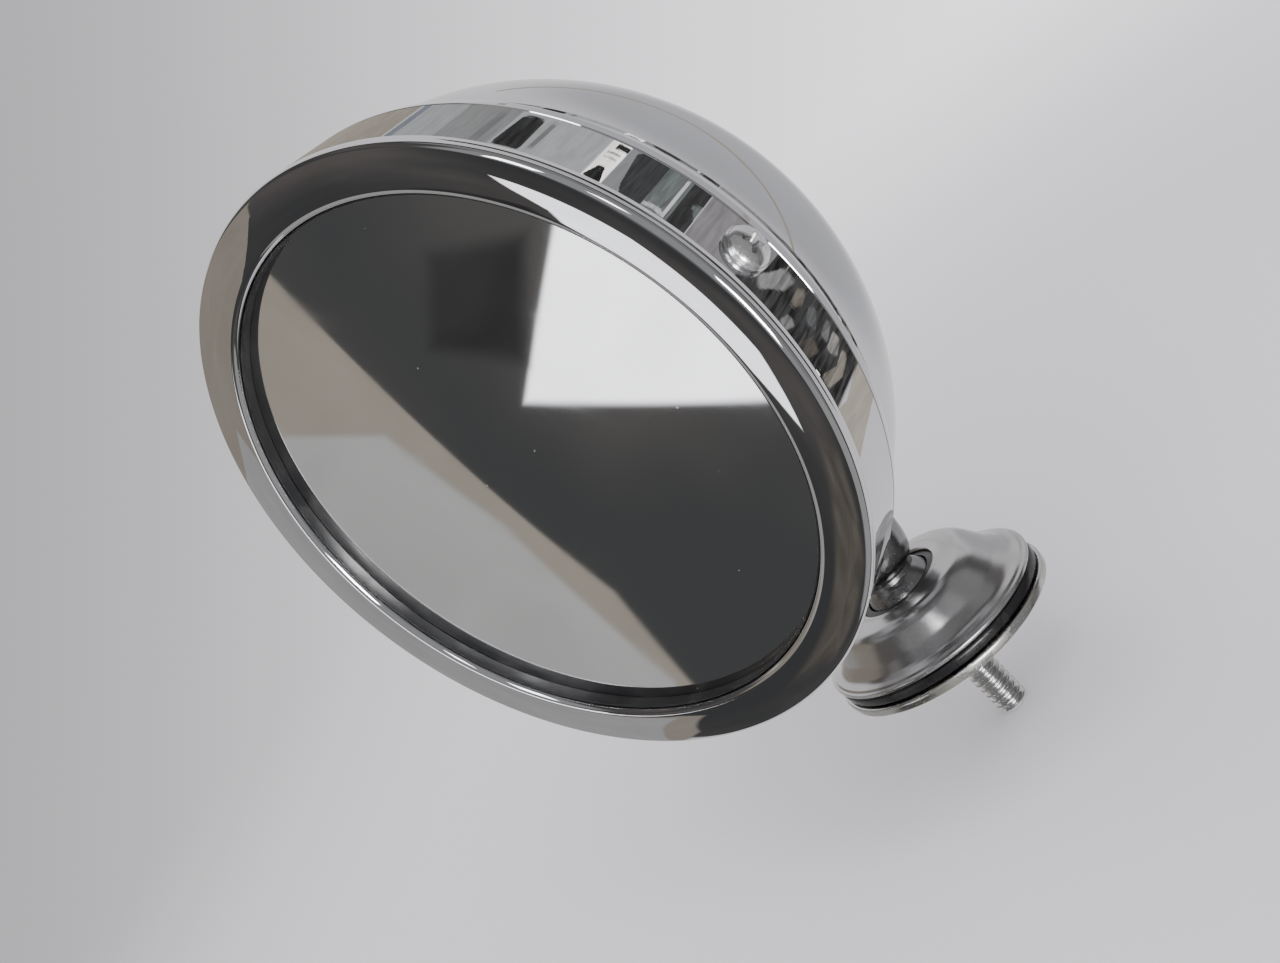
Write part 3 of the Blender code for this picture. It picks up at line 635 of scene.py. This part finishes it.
def make_pedestal(finish):
    rings = []
    for share, height in pedestal_section():
        half_x = RIM_RADIUS + (FOOT_X - FLANGE_EDGE - RIM_RADIUS) * share
        half_y = RIM_RADIUS + (FOOT_Y - FLANGE_EDGE - RIM_RADIUS) * share
        rings.append(oval(half_x, half_y, height, MEDIUM * 2))
    lip = 8.4 * MM
    top = RIM_HEIGHT
    inside = [
        (lip + 0.9 * MM, top - 0.03 * MM), (lip + 0.45 * MM, top - 0.12 * MM),
        (lip + 0.15 * MM, top - 0.3 * MM), (lip + 0.02 * MM, top - 0.45 * MM),
        (lip, top - 0.55 * MM), (SOCKET_RADIUS, top - 0.7 * MM),
        (SOCKET_RADIUS, 6.6 * MM), (CAVITY_RADIUS, 5.8 * MM), (CAVITY_RADIUS, FLANGE_BOTTOM)]
    rings += [circle(radius, height, MEDIUM * 2) for radius, height in inside]
    bm = bmesh.new()
    skin_rings(bm, rings, close=True)
    base = solid("cast_pedestal", bm)
    holes = [drill_bit(1.5 * MM, 3 * MM, 7.2 * MM, Matrix.Translation((x, 0, 0)), 32)
             for x in (-PLATE_SCREW_X, PLATE_SCREW_X)]
    carve(base, holes)
    put(base, "pedestal", "chrome_casting", finish["casting"], "pedestal_base")


def oval_disc(name, half_x, half_y, low, high, hole, fillet):
    """An oval slab with rounded edges and a round hole."""
    unit = 20 * MM
    section = filleted([(0, low, 0), (unit, low, fillet), (unit, high, fillet), (0, high, 0)], 6)
    bm = bmesh.new()
    rings = []
    for x, height in section[1:-1]:
        inset = unit - x
        rings.append(oval(half_x - inset, half_y - inset, height, MEDIUM * 2))
    rings.append(circle(hole, high, MEDIUM * 2))
    rings.append(circle(hole, low, MEDIUM * 2))
    skin_rings(bm, rings, close=True)
    return solid(name, bm)


def make_foot(finish):
    low = PLATE_THICKNESS + FIT_GAP
    gasket = oval_disc("foot_gasket", FOOT_X - 0.5 * MM, FOOT_Y - 0.5 * MM, low,
                       low + GASKET_THICKNESS, CAVITY_RADIUS, 0.7 * MM)
    plate = oval_disc("foot_plate", FOOT_X, FOOT_Y, 0, PLATE_THICKNESS, STUD_RADIUS + FIT_GAP, 0.55 * MM)
    gasket_bits, plate_bits = [], []
    for x in (-PLATE_SCREW_X, PLATE_SCREW_X):
        place = Matrix.Translation((x, 0, 0))
        gasket_bits.append(drill_bit(1.5 * MM, MM, 6 * MM, place, 32))
        outline = [(0, -MM), (2.9 * MM, -MM), (2.9 * MM, 0.3 * MM), (1.5 * MM, 1.7 * MM),
                   (1.5 * MM, 3 * MM), (0, 3 * MM)]
        plate_bits.append(solid("countersink", turned_bmesh(outline, 32), place))
    carve(gasket, gasket_bits)
    carve(plate, plate_bits)
    put(gasket, "pedestal", "black_rubber", finish["gasket"], "base_gasket")
    put(plate, "pedestal", "plated_steel", finish["zinc"], "mounting_plate")


THREAD_PITCH = 1.5 * MM
THREAD_DEPTH = 0.72 * MM


def thread_radius(angle, height):
    """Rolled thread: flanks with rounded crests, running out under the plate, and a pointed end."""
    phase = (height / THREAD_PITCH - angle / (2 * pi)) % 1.0
    flank = abs(2 * phase - 1)
    shape = min(1.0, max(0.0, (flank - 0.12) / 0.74))
    shape = shape * shape * (3 - 2 * shape)
    runout = min(1.0, max(0.0, (-height - 0.9 * MM) / (1.6 * MM)))
    body = STUD_RADIUS - THREAD_DEPTH * (1 - shape) * runout
    chamfer = STUD_RADIUS - 0.95 * MM + max(0.0, height + STUD_LENGTH) * 0.9
    return min(body, chamfer)


def make_stud(finish):
    steps, around = 176, 72
    head = [(0, 3.3), (4.6, 3.3), (5.0, 3.0), (5.0, 2.3), (3.175, 2.3)]
    rings = [circle(radius * MM, height * MM, around) for radius, height in head]
    for k in range(1, steps + 1):
        height = PLATE_THICKNESS + FIT_GAP - (STUD_LENGTH + PLATE_THICKNESS + FIT_GAP) * k / steps
        ring = []
        for i in range(around):
            angle = 2 * pi * i / around
            radius = thread_radius(angle, height)
            ring.append(Vector((radius * cos(angle), radius * sin(angle), height)))
        rings.append(ring)
    rings.append([Vector((0, 0, -STUD_LENGTH))])
    bm = bmesh.new()
    skin_rings(bm, rings, close=False)
    put(solid("threaded_stud", bm), "pedestal", "plated_steel", finish["stud"], "mounting_stud", smooth=50.0)


def dress_carried_nodes(finish):
    """CAD nodes whose shape is right keep their mesh and get a full finish."""
    looks = {
        "backing_pad": "felt", "backing_plate": "zinc", "nut_clip": "spring", "bezel_hook": "spring",
        "hook_rivet": "zinc", "stem_bracket": "zinc", "stem_washer": "spring", "stem_bolt": "zinc",
        "ball_liner": "nylon", "ball_seat": "nylon", "spring_cup": "zinc", "wave_spring": "spring",
        "plate_screw_left": "zinc", "plate_screw_right": "zinc",
        "spring_clip_1": "spring", "spring_clip_2": "spring", "spring_clip_3": "spring"}
    for name, look in looks.items():
        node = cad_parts[name]
        node.data.materials.clear()
        node.data.materials.append(finish[look])


# ---- camera -------------------------------------------------------------------------------
CAMERA_TARGET = Vector((12.1, -38.3, 71.4)) * MM
CAMERA_DISTANCE = 307.0 * MM
CAMERA_AZIMUTH = radians(47.2)
CAMERA_ELEVATION = radians(14.8)
CAMERA_ROLL = radians(45.6)
CAMERA_LENS = 54.14             # millimetres, with a sensor 36 mm wide


def camera_axes():
    """Right, up and back directions of the camera."""
    azimuth, elevation = CAMERA_AZIMUTH, CAMERA_ELEVATION
    back = Vector((sin(azimuth) * cos(elevation), -cos(azimuth) * cos(elevation), sin(elevation)))
    level = Vector((0, 0, 1)).cross(back).normalized()
    natural = back.cross(level)
    up = natural * cos(CAMERA_ROLL) + level * sin(CAMERA_ROLL)
    return up.cross(back), up, back


def make_camera():
    right, up, back = camera_axes()
    data = bpy.data.cameras.new("camera")
    data.lens = CAMERA_LENS
    data.sensor_width = 36.0
    data.clip_start = 0.01
    data.clip_end = 20.0
    camera = bpy.data.objects.new("camera", data)
    bpy.context.scene.collection.objects.link(camera)
    turn = Matrix((right, up, back)).transposed().to_4x4()
    camera.matrix_world = Matrix.Translation(CAMERA_TARGET + back * CAMERA_DISTANCE) @ turn
    bpy.context.scene.camera = camera


# ---- studio -------------------------------------------------------------------------------
def emitter(name, colour, strength, mottle, grain):
    """Emission with a soft border: the fade attribute is 0 on a card's edge and 1 inside."""
    made = bpy.data.materials.new(name)
    made.use_nodes = True
    tree = made.node_tree
    tree.nodes.clear()
    light = tree.nodes.new("ShaderNodeEmission")
    light.inputs["Color"].default_value = (*colour, 1.0)
    cloud = tree.nodes.new("ShaderNodeTexNoise")
    cloud.inputs["Scale"].default_value = grain
    cloud.inputs["Detail"].default_value = 5.0
    cloud.inputs["Distortion"].default_value = 0.8
    place = tree.nodes.new("ShaderNodeTexCoord")
    level = tree.nodes.new("ShaderNodeMapRange")
    level.inputs["From Min"].default_value = 0.3
    level.inputs["From Max"].default_value = 0.7
    level.inputs["To Min"].default_value = strength * (1 - mottle)
    level.inputs["To Max"].default_value = strength * (1 + mottle)
    clear = tree.nodes.new("ShaderNodeBsdfTransparent")
    fade = tree.nodes.new("ShaderNodeAttribute")
    fade.attribute_name = "fade"
    smooth = tree.nodes.new("ShaderNodeMapRange")
    smooth.interpolation_type = 'SMOOTHSTEP'
    blend = tree.nodes.new("ShaderNodeMixShader")
    output = tree.nodes.new("ShaderNodeOutputMaterial")
    tree.links.new(place.outputs["Object"], cloud.inputs["Vector"])
    tree.links.new(cloud.outputs["Fac"], level.inputs["Value"])
    tree.links.new(level.outputs["Result"], light.inputs["Strength"])
    tree.links.new(fade.outputs["Fac"], smooth.inputs["Value"])
    tree.links.new(smooth.outputs["Result"], blend.inputs[0])
    tree.links.new(clear.outputs[0], blend.inputs[1])
    tree.links.new(light.outputs[0], blend.inputs[2])
    tree.links.new(blend.outputs[0], output.inputs["Surface"])
    made.cycles.emission_sampling = 'NONE'
    return made


STUDIO_CENTRE = HEAD_AXIS @ Vector((0, 0, 10 * MM))
TABLE_LEAN = radians(12.0)
BAND_DISTANCE = 1.3             # metres from the band to the outlines it shows


def table_axes():
    """The tabletop that the cards stand on leans towards the camera: (zero azimuth, ninety, up)."""
    right, up, back = camera_axes()
    normal = back * cos(TABLE_LEAN) - (right + up).normalized() * sin(TABLE_LEAN)
    first = (right - normal * right.dot(normal)).normalized()
    return first, normal.cross(first), normal


def toward(azimuth, elevation):
    """Direction from an azimuth and elevation in degrees about the tabletop."""
    first, second, normal = table_axes()
    a, e = radians(azimuth), radians(elevation)
    return (first * cos(a) + second * sin(a)) * cos(e) + normal * sin(e)


def card(name, rim, inner, colour, strength, distance, mottle, grain=7.0):
    """A card whose rim and inner outline lie in the given directions, seen only in polished metal."""
    bm = bmesh.new()
    fade = bm.verts.layers.float.new("fade")
    outer_loop = [bm.verts.new(STUDIO_CENTRE + corner.normalized() * distance) for corner in rim]
    inner_loop = [bm.verts.new(STUDIO_CENTRE + corner.normalized() * distance) for corner in inner]
    for vert in inner_loop:
        vert[fade] = 1.0
    for i in range(len(rim)):
        j = (i + 1) % len(rim)
        bm.faces.new((outer_loop[i], outer_loop[j], inner_loop[j], inner_loop[i]))
    bm.faces.new(inner_loop)
    bmesh.ops.triangulate(bm, faces=[f for f in bm.faces if len(f.verts) > 4])
    made = solid("card_" + name, bm)
    made.data.materials.append(emitter("card_" + name, colour, strength, mottle, grain))
    only_reflected(made)


def only_reflected(piece):
    piece.visible_camera = False
    piece.visible_diffuse = False
    piece.visible_shadow = False
    piece.visible_transmission = False


def shrunk(corners, share):
    """The outline pulled towards its middle."""
    middle_x = sum(x for x, _ in corners) / len(corners)
    middle_y = sum(y for _, y in corners) / len(corners)
    return [(x + (middle_x - x) * share, y + (middle_y - y) * share) for x, y in corners]


def table_card(name, corners, colour, strength, distance=1.5, soft=0.06, mottle=0.06):
    rim = [toward(a, e) for a, e in corners]
    centre = sum(rim, Vector()).normalized()
    card(name, rim, [corner.lerp(centre, soft) for corner in rim], colour, strength, distance, mottle)


def seen_by_band(angle, depth):
    """Where the bezel's band looks, at an angle around the head in degrees and a depth."""
    eye = CAMERA_TARGET + camera_axes()[2] * CAMERA_DISTANCE
    place = screw_frame(radians(angle), depth * MM)
    spot = place @ Vector((0, 0, BEZEL_RADIUS - BAND_INSET - (depth * MM - BAND_START) * BAND_SLOPE))
    tilt = Matrix.Rotation(-atan2(BAND_SLOPE, 1.0), 3, 'Y')
    out = (place.to_3x3() @ tilt @ Vector((0, 0, 1))).normalized()
    sight = (eye - spot).normalized()
    bounce = 2 * out.dot(sight) * out - sight
    return spot + bounce * BAND_DISTANCE - STUDIO_CENTRE


def band_card(name, corners, colour, strength, layer=0, rounded=0.0, soft=0.05, mottle=0.12):
    """A card drawn by its (angle, depth) outline as the band shows it; higher layers lie in front."""
    outline = filleted([(x, y, rounded) for x, y in corners], 4)
    fine = []
    for (x, y), (to_x, to_y) in zip(outline, outline[1:] + outline[:1]):
        parts = max(1, int(sqrt((to_x - x) ** 2 + (to_y - y) ** 2) / 2.5))
        fine += [(x + (to_x - x) * k / parts, y + (to_y - y) * k / parts) for k in range(parts)]
    rim = [seen_by_band(x, y) for x, y in fine]
    inner = [seen_by_band(x, y) for x, y in shrunk(fine, soft)]
    card("band_" + name, rim, inner, colour, strength, 1.32 - 0.02 * layer, mottle, 38.0)


def strip(first, last, near=0.2, far=15.0):
    """A card outline between two angles that fills the band."""
    return [(first, near), (first, far), (last, far), (last, near)]


def make_cards():
    grey = (1.0, 1.0, 1.0)
    lilac = (0.96, 0.965, 1.0)
    tan_tint = (1.0, 0.90, 0.77)
    # the softbox whose edge cuts across the glass, and the table beyond the object's near side
    table_card("softbox", [(232, 7), (228, 18), (220, 26), (232, 28), (244, 25), (246, 17)],
               lilac, 2.75, 1.5, 0.06)
    table_card("table_edge", [(188, -42), (192, -8), (200, 7), (208, 7), (212, -1), (218, 3), (228, 3),
                              (240, 1), (246, -2), (252, -12), (264, -45), (225, -62)],
               tan_tint, 0.34, 1.5, 0.02)
    table_card("paper", [(227, 1.5), (219, -6), (214, -28), (208, -48), (225, -64), (258, -50), (260, -33),
                         (250, -13), (245, -2), (234, 1)], (1.0, 0.985, 0.975), 0.44, 1.0, 0.02)
    table_card("cupboard", [(224, 11), (228, 16), (232, 9), (227, 6)], grey, 0.040, 1.45, 0.4, 0.2)
    table_card("near_wall", [(250, 24), (258, 27), (264, 14), (262, 0), (252, -2), (247, 10)],
               tan_tint, 0.125, 1.5, 0.4, 0.3)
    table_card("ceiling_lamp", [(292, 57), (345, 56), (0, 64), (350, 76), (280, 74)], grey, 26.0, 1.1, 0.2)
    for k, (first, last) in enumerate([(-14, 34), (34, 82), (82, 130)]):
        middle = (first + last) / 2
        table_card(f"far_shelf_{k}", [(first, 6), (middle, 3), (last, 6), (last, 44),
                                         (middle, 45), (first, 44)], grey, 0.26, 1.6, 0.02, 0.2)
    table_card("skylight", [(142, 51), (184, 49), (190, 58), (140, 63)], lilac, 9.0, 1.1, 0.15)
    table_card("high_lamp", [(110, 72), (165, 72), (180, 78), (95, 78)], lilac, 9.0, 1.1, 0.15)
    table_card("side_lamp", [(292, 58), (325, 60), (335, 69), (285, 67)], lilac, 9.0, 1.1, 0.15)
    table_card("shelf", [(263, 8), (290, -4), (322, -8), (346, 6), (350, 38), (300, 46), (262, 40)],
               grey, 0.40, 1.5, 0.08)
    sill = [(a, 30 * (abs(a - 90) / 54) ** 2.5 - 58) for a in range(36, 117, 8)]
    table_card("far_sill", [(a, e + 0.8) for a, e in sill] + [(a, e - 0.8) for a, e in reversed(sill)],
               tan_tint, 0.50, 1.0, 0.001)
    pale = (0.97, 1.0, 1.0)
    warm = (1.0, 0.96, 0.9)
    # what stands around the tabletop, by the place on the band that shows it
    band_card("beige_sheet", strip(86, 62), tan_tint, 0.42)
    band_card("blue_edge", strip(62, 60.5), (0.83, 0.87, 1.0), 0.33, 1)
    band_card("lilac_sheet", strip(61, 53.5), lilac, 0.52)
    band_card("grey_sheet", strip(54, 45), grey, 0.37)
    band_card("grey_shade", strip(48.5, 46.5), grey, 0.25, 1, soft=0.7)
    band_card("pale_wall", strip(45.5, 31), pale, 0.60)
    band_card("dark_box", [(45, 2.5), (44.5, 13), (41, 13), (40.5, 2.5)], grey, 0.055, 1, 1.0, 0.08, 0.6)
    band_card("box_shade", strip(40, 39, 3, 13.5), grey, 0.3, 1, soft=0.4)
    band_card("window", strip(31, 28, 1, 14), warm, 2.3, 1, mottle=0.3)
    band_card("window_sill", [(31, 2), (30, 6.5), (29, 6), (28, 1.5)], grey, 0.05, 2, 0.5, mottle=0.5)
    band_card("window_head", strip(30, 28, 11.5, 13), grey, 0.05, 2)
    band_card("blind_1", strip(30.5, 28.5, 8.5, 9), grey, 0.3, 2)
    band_card("blind_2", strip(30.5, 28.5, 10, 10.5), grey, 0.4, 2)
    band_card("pillar", strip(28, 25.5), pale, 0.40)
    band_card("charcoal", [(26, 4.5), (27, 13), (26, 15), (22, 15), (22, 0.2), (25, 0.2)],
              pale, 0.085, 1, 0.9, mottle=0.3)
    band_card("slate", strip(22.5, 15), (0.92, 1.0, 1.0), 0.24, mottle=0.35)
    band_card("slate_sill", strip(22, 18.5, 2.5, 3.5), grey, 0.75, 1, mottle=0.4)
    band_card("bright_post", strip(19, 18.5, 2.5, 13.5), grey, 1.0, 1)
    band_card("dark_step", [(18, 0.2), (18, 15), (15, 15), (15, 10), (16.5, 9), (15, 6), (15, 0.2)],
              grey, 0.07, 1, 0.3, mottle=0.4)
    band_card("clutter", strip(15, -18), (1.0, 0.98, 0.96), 0.075, mottle=0.7)
    band_card("rose", [(15, 0.2), (15, 15), (2.5, 15), (3, 9), (5.5, 4.5), (7, 0.2)],
              (1.0, 0.93, 0.96), 0.38, 1, 1.0, 0.05, 0.2)
    band_card("bottle", [(3, 3), (4, 6), (2, 10), (1, 13), (-2, 13), (-1, 8)],
              (0.98, 1.0, 0.95), 0.36, 1, 1.0, 0.25, 0.4)
    band_card("brown_fold", [(-2, 12.5), (-4, 13), (-4.5, 9), (-2.5, 5)], tan_tint, 0.19, 1, 0.9, 0.35, 0.7)
    band_card("grey_fold", [(-2, 2), (-4, 2), (-5, 5), (-3, 6)], grey, 0.33, 1, 0.8, 0.3, 0.6)
    band_card("dark_glint", [(-5, 11), (-6.5, 12.5), (-8.5, 8), (-6, 7)], pale, 0.17, 1, 0.9, 0.3, 0.5)
    band_card("brown_cloth", [(-6, 2.5), (-9, 2), (-10.5, 6), (-8, 7.5)], tan_tint, 0.14, 1, 0.9, 0.3, 0.5)
    band_card("grey_cloth", [(-8.5, 13), (-10, 12.5), (-11, 9), (-9, 8.5)], grey, 0.2, 1, 0.6, 0.3, 0.5)
    band_card("warm_stripes", [(-10.5, 12.5), (-12.5, 13), (-13.5, 9.5), (-11, 7)],
              warm, 0.40, 1, 0.7, 0.25, 0.8)
    band_card("tan_fold", [(-12, 2.5), (-14.5, 2), (-16, 8), (-15, 13), (-13.5, 12), (-14, 8)],
              tan_tint, 0.36, 1, 1.0, 0.2, 0.5)
    band_card("spark", strip(-11, -12, 1.5, 2.5), warm, 3.5, 2)
    band_card("tan_board", [(-17, 0.2), (-18.5, 6), (-17, 15), (-23.5, 15), (-25.5, 6), (-27, 0.2)],
              tan_tint, 0.62, 0, 0.4, 0.04)


def make_world():
    """Pale and brighter to one side for the camera; polished metal sees a sheet below a dim room."""
    world = bpy.data.worlds.new("studio")
    bpy.context.scene.world = world
    world.use_nodes = True
    tree = world.node_tree
    tree.nodes.clear()

    def node(kind, inputs=(), **settings):
        made = tree.nodes.new(kind)
        for key, value in settings.items():
            setattr(made, key, value)
        for key, value in dict(inputs).items():
            if isinstance(value, bpy.types.NodeSocket):
                tree.links.new(value, made.inputs[key])
            else:
                made.inputs[key].default_value = value
        return made

    def along(direction):
        return node("ShaderNodeVectorMath", {0: place, 1: direction},
                    operation='DOT_PRODUCT').outputs["Value"]

    def step(value, low, high, to_low=0.0, to_high=1.0):
        return node("ShaderNodeMapRange", {"Value": value, "From Min": low, "From Max": high,
                                           "To Min": to_low, "To Max": to_high},
                    interpolation_type='SMOOTHSTEP').outputs["Result"]

    def mix(share, first, second):
        return node("ShaderNodeMix", {0: share, 6: first, 7: second}, data_type='RGBA').outputs[2]

    place = node("ShaderNodeTexCoord").outputs["Generated"]
    _, _, normal = table_axes()
    axis = (HEAD_AXIS.to_3x3() @ Vector((0, 0, 1))).normalized()
    cloud = node("ShaderNodeTexNoise", {"Vector": place, "Scale": 2.2, "Detail": 3.0}).outputs["Fac"]
    room = mix(step(cloud, 0.35, 0.7), (0.058, 0.059, 0.060, 1), (0.125, 0.115, 0.108, 1))
    overhead = step(along(normal), sin(radians(35)), sin(radians(43)))
    room = mix(overhead, room, (0.36, 0.36, 0.37, 1))
    shaded = step(along(axis), cos(radians(34)), cos(radians(20)))
    sheet = mix(shaded, (0.93, 0.92, 0.95, 1), (0.60, 0.60, 0.63, 1))
    reflected = mix(step(along(normal), sin(radians(-18.5)), sin(radians(-15.5))), sheet, room)
    across = step(along(camera_axes()[0]), -0.36, 0.30)
    seen = node("ShaderNodeBackground", {"Color": mix(across, (0.56, 0.54, 0.565, 1), (2.0, 1.93, 2.04, 1)),
                                         "Strength": 1.0})
    mirrored = node("ShaderNodeBackground", {"Color": reflected, "Strength": 1.0})
    path = node("ShaderNodeLightPath")
    blend = node("ShaderNodeMixShader", {0: path.outputs["Is Glossy Ray"], 1: seen.outputs[0],
                                         2: mirrored.outputs[0]})
    output = node("ShaderNodeOutputWorld")
    tree.links.new(blend.outputs[0], output.inputs["Surface"])


def make_floor():
    """A pale disc under the stud that fades into the backdrop."""
    rings = [circle(0.9 * i / 24, 0, MEDIUM) for i in range(25)]
    bm = bmesh.new()
    skin_rings(bm, rings, close=False)
    floor = solid("floor", bm, Matrix.Translation((0, 0, -STUD_LENGTH - 0.05 * MM)))
    made = Finish("floor_paper", (0.80, 0.785, 0.81), 0.9)
    grain = made.noise(700.0, 4.0, 0.6)
    made.feed("Base Color", made.mix(grain, rgba(0.79, 0.775, 0.80), rgba(0.82, 0.805, 0.83)))
    made.bump(grain, 0.02 * MM)
    made.set("Specular IOR Level", 0.1)
    radius, _, _ = made.around()
    fade = made.remap(radius, 0.16, 0.55, 0.0, 1.0)
    clear = made.node("ShaderNodeBsdfTransparent")
    blend = made.node("ShaderNodeMixShader", {0: fade, 1: made.shader.outputs[0], 2: clear.outputs[0]})
    made.tree.links.new(blend.outputs[0], made.tree.nodes["Material Output"].inputs["Surface"])
    floor.data.materials.append(made.material)
    floor.visible_glossy = False


def make_lights():
    """Two broad soft lights for the floor and the rubber; polished metal sees the cards instead."""
    for name, size, power, spot in (("key", 0.9, 9.0, (0.5, -0.6, 0.9)),
                                    ("fill", 1.2, 4.0, (-0.8, 0.2, 0.7))):
        data = bpy.data.lights.new(name, 'AREA')
        data.shape = 'DISK'
        data.size = size
        data.energy = power
        light = bpy.data.objects.new(name, data)
        bpy.context.scene.collection.objects.link(light)
        light.location = spot
        aim = STUDIO_CENTRE - Vector(spot)
        light.rotation_mode = 'QUATERNION'
        light.rotation_quaternion = aim.to_track_quat('-Z', 'Y')
        light.visible_glossy = False


def main():
    make_camera()
    finish = finishes()
    make_bezel(finish)
    make_bowl(finish)
    make_glass(finish)
    make_seal(finish)
    make_rim_screw(finish)
    make_neck(finish)
    make_pedestal(finish)
    make_foot(finish)
    make_stud(finish)
    dress_carried_nodes(finish)
    make_world()
    make_cards()
    make_floor()
    make_lights()


main()
